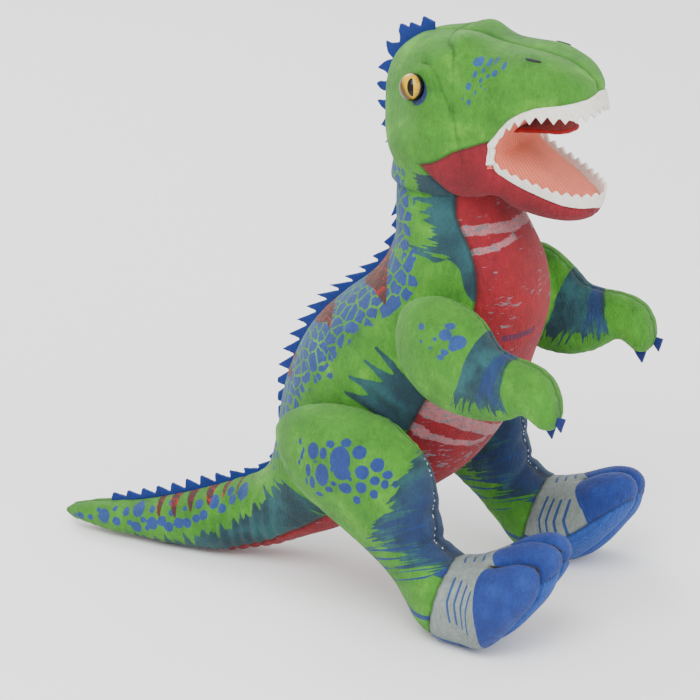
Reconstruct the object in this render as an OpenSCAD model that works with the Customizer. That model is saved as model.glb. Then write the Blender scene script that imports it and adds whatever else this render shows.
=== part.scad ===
// Stuffed dinosaur that stands on two padded feet and its tail.
// +X is forward (nose), +Y is the toy's left, +Z is up, and z = 0 is the surface it stands on.
// Each soft member is a loft of oval rings. A station is one ring:
//   [ax, az, bx, bz, y, w_left, w_right, edge, box]
// a and b are the ring's two ends in the X-Z plane, y is the ring's middle across the toy, w_left
// and w_right are its half widths towards +Y and -Y, edge is the angle of a seam round the ring,
// and box is below 1 where the ring is squarer than an oval.

/* [Toy] */
// Height of the toy from the floor to the top of the head, in mm
toy_height = 348; // [280:4:420]
// Thickness of the plush with its pile, in mm
plush = 1.6; // [1.2:0.1:2]
// Thickness of one layer of felt, in mm
felt = 1.2; // [1:0.1:1.4]
// Rings made between two stations of a loft
ring_steps = 2; // [2:1:3]

/* [Trim] */
// Spacing of the felt spikes along the spine, in mm
spike_pitch = 11; // [9:0.5:14]
// Height of the felt spikes above the plush, in mm
spike_height = 10; // [7:0.5:12]
// Diameter of the plastic eyes, in mm
eye_d = 18; // [14:1:20]
// Height of the felt teeth, in mm
tooth_height = 9; // [7:0.5:10]

/* [Joints] */
// Radius of the sewn root of each arm, in mm
arm_root_r = 17; // [14:1:19]
// Radius of the sewn root of each leg, in mm
leg_root_r = 22; // [18:1:24]
// Radius of the hollow in the head that turns on the end of the neck, in mm
neck_r = 35.4; // [35.2:0.1:36]
// Radius of the round root of the tail, in mm
tail_root_r = 27.5; // [27:0.1:28]

/* [Hidden] */

design_height = 348;
gap = 0.4;
seam = 0.12;
filling_gap = 0.9;

// Moves the toy so that the origin is in the middle of its length.
to_centre = -1.2;

// How far inside the body the roots of the arms and legs begin.
arm_root_in = 34;
leg_root_in = 36;

// Eyes: how deep the dome sits in the plush, and the parts behind it.
eye_sink = 0.9;
rim_h = 1.2;
shank_r = 2.5;
shank_len = 12;
washer_r = 8;
washer_depth = 4.6;

// Teeth: their spacing and the depth of the notches between them.
tooth_pitch = 6.5;
notch = 3;

// Tongue: its root in the X-Z plane and its size.
tongue_root = [122.8, 285.2];
tongue_len = 34;
tongue_thick = 5;

// Claws of the left hand, at the middle of each base, and the distance of a toe thread
// from the middle of the foot.
claw_at = [[171.5, 71, 137.8], [179.5, 77.5, 140.5]];
toe_w = 10;

// Joint centres, in mm at the design height.
neck_pivot = [80, 0, 262];
tail_pivot = [-62, -8, 26];
shoulder = [100, 172];
hip = [42, 92];

// Body, from the top of the neck down the trunk and out to the tip of the tail.
// a is on the spine and b is on the belly. edge is half the belly panel's angle round the ring.
body_st = [
    [74, 292, 88, 293, 0, 6, 6, 60, 0.9],
    [61, 288, 100, 291, 0, 19, 19, 62, 0.9],
    [51, 277, 109, 282, 0, 28, 28, 64, 0.9],
    [47, 260, 113.6, 264, 0, 32.5, 32.5, 66, 0.9],
    [46.5, 240, 116, 246, 0, 34.5, 34.5, 68, 0.9],
    [46, 221, 127, 229, 0, 38, 38, 64, 0.9],
    [38, 203, 135, 211, 0, 43, 43, 61, 0.9],
    [22, 188, 138, 192, 0, 46, 46, 60, 0.9],
    [1, 171, 136, 172, 0, 48, 48, 61, 0.9],
    [-14, 151, 129, 152, 0, 50, 50, 63, 0.9],
    [-24, 128, 121, 129, 0, 51, 51, 66, 0.9],
    [-30, 104, 109, 105, 0, 50, 50, 68, 0.9],
    [-33, 83, 92, 82, 0, 47, 47, 68, 0.9],
    [-36, 69, 68, 62, 0, 43, 43, 66, 0.9],
    [-40, 60, 38, 43, -1, 38, 38, 62, 0.9],
    [-46, 54, 8, 27, -3, 33, 33, 56, 0.9],
    [-56, 49, -24, 13, -6, 28.5, 28.5, 46, 0.9],
    [-69, 44, -50, 4, -10, 24.5, 24.5, 34, 0.9],
    [-84, 39, -73, 0.2, -14, 21, 21, 20, 0.9],
    [-102, 33, -96, 0, -17, 18, 18, 12, 0.9],
    [-124, 27, -119, 0.5, -19, 15, 15, 9, 0.9],
    [-146, 21.8, -142, 1.6, -20, 12.5, 12.5, 8, 0.9],
    [-164, 18, -161, 3, -20, 9.5, 9.5, 8, 0.9],
    [-177, 14.5, -175, 4, -20, 6, 6, 8, 0.9],
    [-182, 11.5, -181.6, 6.5, -20, 2.6, 2.6, 8, 0.9]
];

// Head, from the back of the skull to the nose. a is on top and b is underneath.
// edge is the angle from the top at which the green plush meets the throat or the mouth.
head_st = [
    [41, 314, 41, 298, 0, 9, 9, 179.5, 0.9],
    [45, 330, 44, 280, 0, 23, 23, 179.5, 0.85],
    [54, 340, 52, 264, 0, 34.5, 34.5, 179.5, 0.8],
    [67, 345.5, 66, 255, 0, 42, 42, 179.5, 0.75],
    [82, 347, 84, 250, 0, 46, 46, 179.5, 0.7],
    [97, 345, 107, 252, 0, 45, 45, 100, 0.68],
    [108, 343, 113, 268, 0, 42, 42, 108, 0.68],
    [118, 342, 117, 285, 0, 38.5, 38.5, 128, 0.66],
    [130, 341, 127, 299, 0, 35.5, 35.5, 126, 0.64],
    [143, 339, 142, 306, 0, 31.5, 31.5, 117, 0.64],
    [156, 334.5, 156, 309, 0, 26, 26, 115, 0.66],
    [165, 328, 165, 312, 0, 17, 17, 110, 0.7],
    [168.5, 322, 168.5, 316, 0, 6, 6, 106, 0.8]
];
cheek_seam = 5;
mouth_corner = 7;

// Lower jaw, from the mouth corner to the chin. a is the floor of the mouth and b is the chin.
jaw_st = [
    [119, 282, 125.5, 248, 0, 35, 35, 78, 0.8],
    [131, 274.5, 137, 245.5, 0, 32.5, 32.5, 78, 0.8],
    [145, 267, 149, 244, 0, 28.5, 28.5, 78, 0.8],
    [157, 260.5, 160, 244, 0, 22.5, 22.5, 78, 0.8],
    [166, 257, 167.5, 246, 0, 14, 14, 78, 0.8],
    [170.5, 254.5, 171, 250, 0, 4.5, 4.5, 78, 0.8]
];

// Left arm, from the shoulder pad to the fingertips. a is the upper edge and b the lower edge.
// The pad is flat towards the body, so w_right is small.
arm_st = [
    [69, 182, 69, 170, 54.7, 3, 2.5, 90, 0.9],
    [76, 197, 77, 155, 57.2, 11, 5, 90, 0.9],
    [92, 205.5, 91, 143, 59, 18.5, 7, 90, 0.9],
    [110, 205, 109, 137, 60.2, 20.5, 8, 90, 0.9],
    [125, 196, 126, 135, 61.2, 20, 9, 90, 0.9],
    [137, 183, 138, 137, 64, 18, 10, 90, 0.9],
    [149, 178, 148, 141, 68, 15.5, 12, 90, 0.9],
    [162, 177, 155, 146, 71, 14.5, 13, 90, 0.9],
    [174, 170, 159, 148, 73, 13.5, 13, 90, 0.9],
    [180, 158, 163, 146, 74, 12, 12, 90, 0.9],
    [180.5, 148.5, 168, 142, 74, 9.5, 9.5, 90, 0.9],
    [177, 141.5, 171.5, 139.5, 74, 5, 5, 90, 0.9]
];

// Left leg, from the thigh pad to the ankle. a is the front edge and b the back edge.
leg_st = [
    [-9, 108, -7, 97, 56, 4, 2.5, 90, 0.9],
    [1, 120, 0, 86, 58, 14, 5, 90, 0.9],
    [22, 128, 12, 73, 60, 22, 7, 90, 0.9],
    [49, 129, 28, 62, 61, 26.5, 8, 90, 0.9],
    [75, 122, 44, 52, 62, 26, 9, 90, 0.9],
    [93, 106, 59, 41, 63, 23.5, 12, 90, 0.9],
    [99, 87, 72, 31, 65, 21, 16, 90, 0.9],
    [100, 72, 83, 20, 67, 20, 19, 90, 0.9],
    [102, 61, 92, 9, 69, 21, 21, 90, 0.9]
];

// Left foot, from the ankle to the toes. a is the top and b is the sole. The toes point up.
foot_st = [
    [102.6, 60.2, 93, 8, 69, 21, 21, 100, 0.9],
    [110, 51.5, 106, -0.8, 69, 24.5, 24, 100, 0.9],
    [121, 50, 119, -1.4, 69, 27.5, 27.5, 100, 0.88],
    [135, 54.5, 134, -0.8, 69.5, 29.5, 29.5, 100, 0.85],
    [149, 61.5, 149, 8, 69.5, 30, 30, 100, 0.82],
    [163, 66.5, 160, 20, 69.5, 28.5, 28.5, 100, 0.82],
    [174, 65.5, 170, 33, 69.5, 23.5, 23.5, 100, 0.85],
    [180, 58, 177, 45, 69.5, 12, 12, 100, 0.9]
];

// ---- lofts -------------------------------------------------------------------------------

function spline(p0, p1, p2, p3, t) =
    0.5 * (2 * p1 + (p2 - p0) * t + (2 * p0 - 5 * p1 + 4 * p2 - p3) * t * t
    + (3 * p1 - p0 - 3 * p2 + p3) * t * t * t);

// The ring at share t of the way from station i to the next one, on a smooth curve.
function ring_at(st, i, t) =
    let (n = len(st) - 1)
    spline(st[max(0, i - 1)], st[i], st[min(n, i + 1)], st[min(n, i + 2)], t);

// The rings from station first to station last.
function rings(st, first, last) = [
    for (i = [first : last - 1], j = [0 : ring_steps - 1]) ring_at(st, i, j / ring_steps),
    st[last]
];

function last_of(st) = len(st) - 1;
function signed_pow(v, q) = sign(v) * pow(abs(v), q);
function middle(s) = [(s[0] + s[2]) / 2, s[4], (s[1] + s[3]) / 2];
function unit(v) = v / norm(v);

// A point on ring s. angle is 0 at a and 180 at b, and goes by way of +Y. inset moves it inwards.
// fat over 1 moves the ring's widest place towards a. Nothing goes lower than the floor.
function ring_point(s, angle, inset = 0, fat = 1) =
    let (
        half = norm([s[2] - s[0], s[3] - s[1]]) / 2,
        c = signed_pow(cos(angle), s[8]),
        along = (2 * pow((1 - c) / 2, fat) - 1) * (half - inset) / half,
        across = signed_pow(sin(angle), s[8]) * ((sin(angle) >= 0 ? s[5] : s[6]) - inset),
        m = middle(s)
    )
    [
        m.x + (s[2] - s[0]) / 2 * along,
        m.y + across,
        max(max(inset, 0), m.z + (s[3] - s[1]) / 2 * along)
    ];

// The angle at which ring s is a distance d from its middle line, near a.
function angle_at(s, d) = asin(pow(min(0.95, d / s[5]), 1 / s[8]));

// Moves a closed end inwards by inset, along the loft.
function end_shift(rs, i, inset) =
    let (next = i == 0 ? 1 : i - 1)
    unit(middle(rs[next]) - middle(rs[i])) * inset;

function patch_grid(rs, from, to, cols, inset, fat, close_first, close_last) = [
    for (i = [0 : len(rs) - 1])
        let (
            closed = i == 0 && close_first || i == len(rs) - 1 && close_last,
            shift = closed ? end_shift(rs, i, inset) : [0, 0, 0]
        )
        for (j = [0 : cols])
            ring_point(rs[i], from[i] + (to[i] - from[i]) * j / cols, inset, fat) + shift
];

function quad(a, b, c, d) = [[a, b, c], [a, c, d]];

// A curved piece of plush from angle from[i] to angle to[i] on ring i. An end that is closed
// comes together at one point, and any other end is a cut edge.
module patch(rs, from, to, cols, outset = 0, thick = plush, fat = 1,
             close_first = false, close_last = false) {
    n = len(rs);
    m = cols + 1;
    outer = patch_grid(rs, from, to, cols, -outset, fat, close_first, close_last);
    inner = patch_grid(rs, from, to, cols, thick - outset, fat, close_first, close_last);
    poles = [
        for (e = [0, n - 1], inset = [-outset, thick - outset])
            middle(rs[e]) + end_shift(rs, e, inset)
    ];
    base = n * m;
    p0 = 2 * base;
    p1 = p0 + 2;
    faces = [
        for (i = [0 : n - 2], j = [0 : cols - 1])
            let (a = i * m + j, b = a + 1, c = b + m, d = a + m)
            each concat(quad(a, b, c, d), quad(d + base, c + base, b + base, a + base))
    ];
    sides = [
        for (i = [0 : n - 2])
            let (a = i * m, b = a + m, e = a + cols, f = e + m)
            each concat(quad(a, b, b + base, a + base), quad(e, e + base, f + base, f))
    ];
    cut_first = [for (j = [0 : cols - 1]) each quad(j, j + base, j + 1 + base, j + 1)];
    fan_first = concat(
        [for (j = [0 : cols - 1]) each [[p0, j + 1, j], [p0 + 1, j + base, j + 1 + base]]],
        quad(p0, 0, base, p0 + 1),
        quad(p0, p0 + 1, cols + base, cols)
    );
    l = (n - 1) * m;
    cut_last = [for (j = [l : l + cols - 1]) each quad(j, j + 1, j + 1 + base, j + base)];
    fan_last = concat(
        [for (j = [l : l + cols - 1]) each [[p1, j, j + 1], [p1 + 1, j + 1 + base, j + base]]],
        quad(p1, p1 + 1, l + base, l),
        quad(p1, l + cols, l + cols + base, p1 + 1)
    );
    polyhedron(
        concat(outer, inner, poles),
        concat(faces, sides, close_first ? fan_first : cut_first, close_last ? fan_last : cut_last),
        convexity = 6
    );
}

// A closed solid inside the plush: the filling of a soft member. A round end is moved inwards.
module stuffing(rs, cols = 18, fat = 1, round_first = true, round_last = true) {
    inset = plush + filling_gap;
    n = len(rs);
    function shift(i) =
        i == 0 && round_first || i == n - 1 && round_last ? end_shift(rs, i, inset) : [0, 0, 0];
    points = [
        for (i = [0 : n - 1], j = [0 : cols - 1])
            ring_point(rs[i], 360 * j / cols, inset, fat) + shift(i)
    ];
    ends = [for (i = [0, n - 1]) middle(rs[i]) + shift(i)];
    first = n * cols;
    walls = [
        for (i = [0 : n - 2], j = [0 : cols - 1])
            let (a = i * cols + j, b = i * cols + (j + 1) % cols)
            each quad(a, b, b + cols, a + cols)
    ];
    l = (n - 1) * cols;
    caps = [
        for (j = [0 : cols - 1])
            let (next = (j + 1) % cols)
            each [[first, next, j], [first + 1, l + j, l + next]]
    ];
    polyhedron(concat(points, ends), concat(walls, caps), convexity = 6);
}

// The two edges of a patch on one side of the toy. side is 1 on the left and -1 on the right.
function lower_edge(side, near, far) = side > 0 ? near : -far;
function upper_edge(side, near, far) = side > 0 ? far : -near;

module mirrored(side) {
    if (side < 0) mirror([0, 1, 0]) children();
    else children();
}

// ---- zigzag strips of felt -----------------------------------------------------------------

function lengths(line, i = 0, sum = 0) =
    i >= len(line) ? [] :
    let (s = i == 0 ? 0 : sum + norm(line[i] - line[i - 1]))
    concat([s], lengths(line, i + 1, s));

function at_length(line, s, v) =
    [for (c = [0 : 2]) lookup(v, [for (i = [0 : len(s) - 1]) [s[i], line[i][c]]])];

// A strip of felt that stands on a line, with a row of points on its free edge. outs holds the
// way up at each point of the line, and across the way through the felt. The points are low at
// the strip's ends, are high from fade away from them, and lean along the line by a share of a
// pitch. The notches between them are depth deep, but not lower than band.
module zigzag(line, outs, across, thick, pitch, band, depth, low, high, fade, lean = 0) {
    s = lengths(line);
    total = s[len(s) - 1];
    count = round(total / pitch);
    step = total / count;
    columns = [
        for (c = [0 : 2 * count])
            let (
                v = c * step / 2,
                up = unit(at_length(outs, s, v)),
                side = unit(at_length(across, s, v)) * thick,
                tip = c % 2 == 1,
                h_tip = low + (high - low) * min(1, min(v, total - v) / fade),
                h = tip ? h_tip : max(band, h_tip - depth),
                foot = at_length(line, s, v),
                top = at_length(line, s, min(total, v + (tip ? lean * step : 0))) + up * h
            )
            each [foot, top, foot + side, top + side]
    ];
    last = 8 * count;
    faces = [
        for (c = [0 : 2 * count - 1])
            let (a = 4 * c, b = a + 4)
            each concat(
                quad(a, b, b + 1, a + 1),
                quad(a + 2, a + 3, b + 3, b + 2),
                quad(a + 1, b + 1, b + 3, a + 3),
                quad(a, a + 2, b + 2, b)
            )
    ];
    ends = concat(quad(0, 1, 3, 2), quad(last, last + 2, last + 3, last + 1));
    polyhedron(columns, concat(faces, ends), convexity = 10);
}

// Spikes of two layers of felt, held in the spine seam of rings rs.
module spine_spikes(rs, low, high) {
    line = [for (r = rs) ring_point(r, 0, plush) - [0, felt, 0]];
    outs = [for (r = rs) unit([r[0] - r[2], 0, r[1] - r[3]])];
    zigzag(line, outs, [for (r = rs) [0, 1, 0]], 2 * felt, spike_pitch, plush + 1, spike_height,
        plush + low, plush + high, 70, 0.3);
}

// Where the spikes are, the spine seam is open by the thickness of the felt.
function spine_gap(r) = angle_at(r, felt + seam);

// ---- body --------------------------------------------------------------------------------

neck_edge = 3;
tail_from = 13;
torso_end = 18;
tip_spike = 21;
shell_rs = rings(body_st, neck_edge, torso_end);
tail_rs = rings(body_st, tail_from, last_of(body_st));

// The space of the tail: a round root that turns in the body, and everything behind it.
module tail_space(extra) {
    translate([tail_pivot.x, tail_pivot.y, -20]) cylinder(r = tail_root_r + extra, h = 140, $fn = 72);
    translate([tail_pivot.x - 300 + extra, -150, -20]) cube([300, 300, 140]);
}

// The hollows that the roots of the arms and legs turn in.
module root_hollows() {
    for (side = [-1, 1]) {
        translate([shoulder.x, side * arm_root_in, shoulder.y]) rotate([-90 * side, 0, 0])
            cylinder(r = arm_root_r + gap, h = 40, $fn = 64);
        translate([hip.x, side * leg_root_in, hip.y]) rotate([-90 * side, 0, 0])
            cylinder(r = leg_root_r + gap, h = 40, $fn = 64);
    }
}

module body_skin() {
    difference() {
        children();
        root_hollows();
        tail_space(gap);
    }
}

module side_panel(side) {
    near = [for (r = shell_rs) spine_gap(r)];
    far = [for (r = shell_rs) 180 - r[7] - 0.2];
    color("yellowgreen") body_skin()
        patch(shell_rs, lower_edge(side, near, far), upper_edge(side, near, far), 8);
}

module belly_panel() {
    color("crimson") body_skin()
        patch(shell_rs, [for (r = shell_rs) 180 - r[7]], [for (r = shell_rs) 180 + r[7]], 9);
}

module torso_filling() {
    color("white") body_skin() stuffing(rings(body_st, 0, torso_end), 20, round_last = false);
}

module back_spikes() {
    color("royalblue") difference() {
        spine_spikes(rings(body_st, neck_edge + 1, torso_end - 1), 4, spike_height);
        tail_space(gap);
    }
}

// ---- tail --------------------------------------------------------------------------------

module tail_skin() {
    intersection() {
        children();
        tail_space(0);
    }
}

module tail_panel(side) {
    spiked = (tip_spike - tail_from) * ring_steps;
    near = [for (i = [0 : len(tail_rs) - 1]) i <= spiked ? spine_gap(tail_rs[i]) : 0.5];
    far = [for (r = tail_rs) 180 - r[7] - 0.2];
    color("yellowgreen") tail_skin()
        patch(tail_rs, lower_edge(side, near, far), upper_edge(side, near, far), 7, close_last = true);
}

module tail_underside() {
    color("crimson") tail_skin()
        patch(tail_rs, [for (r = tail_rs) 180 - r[7]], [for (r = tail_rs) 180 + r[7]], 4,
            close_last = true);
}

module tail_filling() {
    color("white") tail_skin() stuffing(tail_rs, 16, round_first = false);
}

module tail_spikes() {
    color("royalblue") tail_skin()
        spine_spikes(rings(body_st, tail_from, tip_spike), 4, spike_height - 2);
}

// ---- head --------------------------------------------------------------------------------

cheek_rs = rings(head_st, 0, cheek_seam);
throat_rs = rings(head_st, cheek_seam, mouth_corner);
snout_rs = rings(head_st, cheek_seam, last_of(head_st));
palate_rs = rings(head_st, mouth_corner, last_of(head_st));
crown_first = 1;
crown_last = 3;

// The hollow in the head that the end of the neck sits in.
module neck_hollow() {
    translate([neck_pivot.x, 0, neck_pivot.z]) sphere(r = neck_r, $fn = 64);
    translate([neck_pivot.x, 0, neck_pivot.z - 40]) cylinder(r = neck_r + 1.4, h = 40, $fn = 64);
}

module head_skin() {
    difference() {
        children();
        neck_hollow();
        for (side = [-1, 1]) eye_place(side) eye_pocket();
    }
}

module cheek_panel(side) {
    first = crown_first * ring_steps;
    spiked = crown_last * ring_steps;
    near = [
        for (i = [0 : len(cheek_rs) - 1])
            i >= first && i <= spiked ? spine_gap(cheek_rs[i]) : 0.5
    ];
    far = [for (r = cheek_rs) 179.6];
    color("yellowgreen") head_skin()
        patch(cheek_rs, lower_edge(side, near, far), upper_edge(side, near, far), 10,
            close_first = true);
}

module snout_panel(side) {
    near = [for (r = snout_rs) 0.5];
    far = [for (r = snout_rs) r[7] - 0.3];
    color("yellowgreen") head_skin()
        patch(snout_rs, lower_edge(side, near, far), upper_edge(side, near, far), 7,
            close_last = true);
}

module throat_panel() {
    color("crimson") head_skin()
        patch(throat_rs, [for (r = throat_rs) r[7]], [for (r = throat_rs) 360 - r[7]], 8);
}

module palate_lining() {
    color("pink")
        patch(palate_rs, [for (r = palate_rs) r[7]], [for (r = palate_rs) 360 - r[7]], 6,
            close_last = true);
}

module head_filling() {
    color("white") difference() {
        head_skin() stuffing(rings(head_st, 0, last_of(head_st)), 20);
        for (side = [-1, 1]) eye_place(side) washer_pocket();
    }
}

module head_spikes() {
    crown = rings(head_st, crown_first, crown_last);
    color("royalblue") spine_spikes([for (i = [len(crown) - 1 : -1 : 0]) crown[i]], 5, 8);
}

// A strip of felt teeth along the seam angle of rings rs, right round the end of the loft.
module teeth(rs, up, fat) {
    n = len(rs) - 1;
    right = [for (i = [0 : n]) ring_point(rs[i], -rs[i][7], -seam, fat)];
    left = [for (i = [n : -1 : 0]) ring_point(rs[i], rs[i][7], -seam, fat)];
    line = [for (p = concat(right, left)) p + up * seam];
    away = [
        for (i = [0 : len(line) - 1])
            let (d = line[min(len(line) - 1, i + 1)] - line[max(0, i - 1)])
            unit([d.y * -1, d.x, 0]) * -1
    ];
    zigzag(line, [for (p = line) up], away, felt, tooth_pitch, 0.5, notch, 3.5, tooth_height, 18);
}

module upper_teeth() color("white") teeth(palate_rs, [0, 0, -1], 1);

module tongue() {
    color("indianred") translate([tongue_root.x, 0, tongue_root.y]) rotate([0, -4, 0])
        linear_extrude(tongue_thick) hull() {
            translate([2, 0]) square([4, 30], center = true);
            translate([tongue_len - 13, 0]) circle(13, $fn = 32);
        }
}

// ---- eyes and nostrils ---------------------------------------------------------------------

function surface_normal(st, i, t, angle) =
    let (
        round_it = ring_point(ring_at(st, i, t), angle + 3) - ring_point(ring_at(st, i, t), angle - 3),
        along_it = ring_point(ring_at(st, i, t + 0.1), angle) - ring_point(ring_at(st, i, t - 0.1), angle)
    )
    unit(cross(along_it, round_it));

// Puts children on the skin of the head, with +Z pointing away from it.
module on_head(side, i, t, angle) {
    n = surface_normal(head_st, i, t, angle);
    mirrored(side) translate(ring_point(ring_at(head_st, i, t), angle))
        rotate([0, acos(n.z), atan2(n.y, n.x)]) children();
}

module eye_place(side) on_head(side, 3, 0.35, 70) children();

// What is cut out of the plush and the filling for an eye, its shank and its washer.
module eye_pocket() {
    translate([0, 0, -eye_sink]) cylinder(d = eye_d + 0.6, h = 10, $fn = 48);
    translate([0, 0, -shank_len - 0.5]) cylinder(r = shank_r + 0.15, h = shank_len, $fn = 32);
}

module washer_pocket() {
    translate([0, 0, -washer_depth - 0.2]) cylinder(r = washer_r + 0.3, h = 8, $fn = 32);
}

// A hard dome on a shank, as one turned outline.
module eye(side) {
    dome_h = eye_d * 0.3;
    ball_r = (pow(eye_d / 2, 2) + pow(dome_h, 2)) / (2 * dome_h);
    reach = asin(eye_d / 2 / ball_r);
    dome = [
        for (a = [0 : reach / 8 : reach])
            [ball_r * sin(a), dome_h - ball_r + ball_r * cos(a) + rim_h - eye_sink]
    ];
    outline = concat(
        [[0, -shank_len]], dome,
        [[eye_d / 2, -eye_sink], [shank_r, -eye_sink], [shank_r, -shank_len]]
    );
    color("gold") eye_place(side) rotate_extrude($fn = 64) polygon(outline);
}

module eye_washer(side) {
    color("black") eye_place(side) translate([0, 0, -washer_depth]) difference() {
        cylinder(r = washer_r, h = 1.5, $fn = 32);
        translate([0, 0, -1]) cylinder(r = shank_r + 0.15, h = 4, $fn = 32);
    }
}

module nostril(side) {
    color("black") on_head(side, 8, 0.55, 38) translate([0, 0, seam + 0.6])
        linear_extrude(0.8) hull() for (x = [-2, 2]) translate([x, 0]) circle(1.1, $fn = 16);
}

// ---- jaw ---------------------------------------------------------------------------------

jaw_rs = rings(jaw_st, 0, last_of(jaw_st));
jaw_fat = 1.8;
jaw_up = unit([-0.2, 0, 1]);

module jaw_panel() {
    color("crimson")
        patch(jaw_rs, [for (r = jaw_rs) r[7] + 0.4], [for (r = jaw_rs) 359.6 - r[7]], 12,
            fat = jaw_fat, close_last = true);
}

module jaw_lining() {
    color("pink")
        patch(jaw_rs, [for (r = jaw_rs) -r[7]], [for (r = jaw_rs) r[7]], 8, fat = jaw_fat,
            close_last = true);
}

module jaw_filling() color("white") stuffing(jaw_rs, 18, jaw_fat, round_first = false);

module lower_teeth() color("white") teeth(jaw_rs, jaw_up, jaw_fat);

// ---- arms --------------------------------------------------------------------------------

arm_rs = rings(arm_st, 0, last_of(arm_st));

module arm_root(extra) {
    translate([shoulder.x, arm_root_in + gap, shoulder.y]) rotate([-90, 0, 0])
        cylinder(r = arm_root_r + extra, h = 62 - arm_root_in, $fn = 64);
}

// One half of the arm's plush. half is 0 away from the body and 1 towards it.
module arm_panel(side, half) {
    color("yellowgreen") mirrored(side) difference() {
        patch(arm_rs, [for (r = arm_rs) 180 * half + 0.4], [for (r = arm_rs) 180 * half + 179.6], 8,
            close_first = true, close_last = true);
        if (half == 1) arm_root(seam);
    }
}

module arm_filling(side) {
    color("white") mirrored(side) {
        stuffing(arm_rs, 16);
        arm_root(0);
    }
}

// Two claws, each a felt triangle sewn into the end of the hand.
module hand_claws(side) {
    color("midnightblue") mirrored(side) for (i = [0, 1])
        translate([claw_at[i].x, claw_at[i].y + felt, claw_at[i].z]) rotate([90, 0, 0])
            linear_extrude(2 * felt) polygon([[-5, 0], [2.5, -10], [5, -1.5]]);
}

// ---- legs and feet -------------------------------------------------------------------------

leg_rs = rings(leg_st, 0, last_of(leg_st));
foot_rs = rings(foot_st, 0, last_of(foot_st));

module leg_root(extra) {
    translate([hip.x, leg_root_in + gap, hip.y]) rotate([-90, 0, 0])
        cylinder(r = leg_root_r + extra, h = 62 - leg_root_in, $fn = 64);
}

module leg_panel(side, half) {
    color("yellowgreen") mirrored(side) difference() {
        patch(leg_rs, [for (r = leg_rs) 180 * half + 0.4], [for (r = leg_rs) 180 * half + 179.6], 8,
            close_first = true);
        if (half == 1) leg_root(seam);
    }
}

module leg_filling(side) {
    color("white") mirrored(side) {
        stuffing(leg_rs, 16, round_last = false);
        leg_root(0);
    }
}

module foot_upper(side) {
    color("darkgray") mirrored(side)
        patch(foot_rs, [for (r = foot_rs) -r[7]], [for (r = foot_rs) r[7]], 10, close_last = true);
}

module foot_sole(side) {
    color("steelblue") mirrored(side)
        patch(foot_rs, [for (r = foot_rs) r[7] + 0.4], [for (r = foot_rs) 359.6 - r[7]], 8,
            close_last = true);
}

module foot_filling(side) {
    color("white") mirrored(side) stuffing(foot_rs, 18, round_first = false);
}

// The threads that draw the front of the foot into three toes.
module toe_threads(side) {
    toe_rs = rings(foot_st, 4, last_of(foot_st));
    color("midnightblue") mirrored(side) for (turn = [0, 1], s = [-1, 1]) {
        centre = [for (r = toe_rs) 180 * turn + s * angle_at(r, toe_w)];
        half_width = [for (r = toe_rs) 35 / r[5]];
        patch(toe_rs, centre - half_width, centre + half_width, 1, outset = 1, thick = 0.8);
    }
}

module place() scale(toy_height / design_height) translate([to_centre, 0, 0]) children();

place() side_panel(-1);  // side_panel_right
place() side_panel(1);  // side_panel_left
place() belly_panel();
place() torso_filling();
place() back_spikes();
place() tail_panel(-1);  // tail_panel_right
place() tail_panel(1);  // tail_panel_left
place() tail_underside();
place() tail_filling();
place() tail_spikes();
place() cheek_panel(-1);  // cheek_panel_right
place() cheek_panel(1);  // cheek_panel_left
place() snout_panel(-1);  // snout_panel_right
place() snout_panel(1);  // snout_panel_left
place() throat_panel();
place() head_filling();
place() palate_lining();
place() upper_teeth();
place() tongue();
place() head_spikes();
place() eye(-1);  // eye_right
place() eye(1);  // eye_left
place() eye_washer(-1);  // eye_washer_right
place() eye_washer(1);  // eye_washer_left
place() nostril(-1);  // nostril_right
place() nostril(1);  // nostril_left
place() jaw_panel();
place() jaw_filling();
place() jaw_lining();
place() lower_teeth();
place() arm_panel(-1, 0);  // arm_outer_right
place() arm_panel(-1, 1);  // arm_inner_right
place() arm_filling(-1);  // arm_filling_right
place() hand_claws(-1);  // hand_claws_right
place() arm_panel(1, 0);  // arm_outer_left
place() arm_panel(1, 1);  // arm_inner_left
place() arm_filling(1);  // arm_filling_left
place() hand_claws(1);  // hand_claws_left
place() leg_panel(-1, 0);  // leg_outer_right
place() leg_panel(-1, 1);  // leg_inner_right
place() leg_filling(-1);  // leg_filling_right
place() foot_upper(-1);  // foot_upper_right
place() foot_sole(-1);  // foot_sole_right
place() foot_filling(-1);  // foot_filling_right
place() toe_threads(-1);  // toe_threads_right
place() leg_panel(1, 0);  // leg_outer_left
place() leg_panel(1, 1);  // leg_inner_left
place() leg_filling(1);  // leg_filling_left
place() foot_upper(1);  // foot_upper_left
place() foot_sole(1);  // foot_sole_left
place() foot_filling(1);  // foot_filling_left
place() toe_threads(1);  // toe_threads_left
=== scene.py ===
import functools
import math

import bmesh
import bpy
import numpy as np
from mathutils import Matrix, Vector
from mathutils.bvhtree import BVHTree


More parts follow.
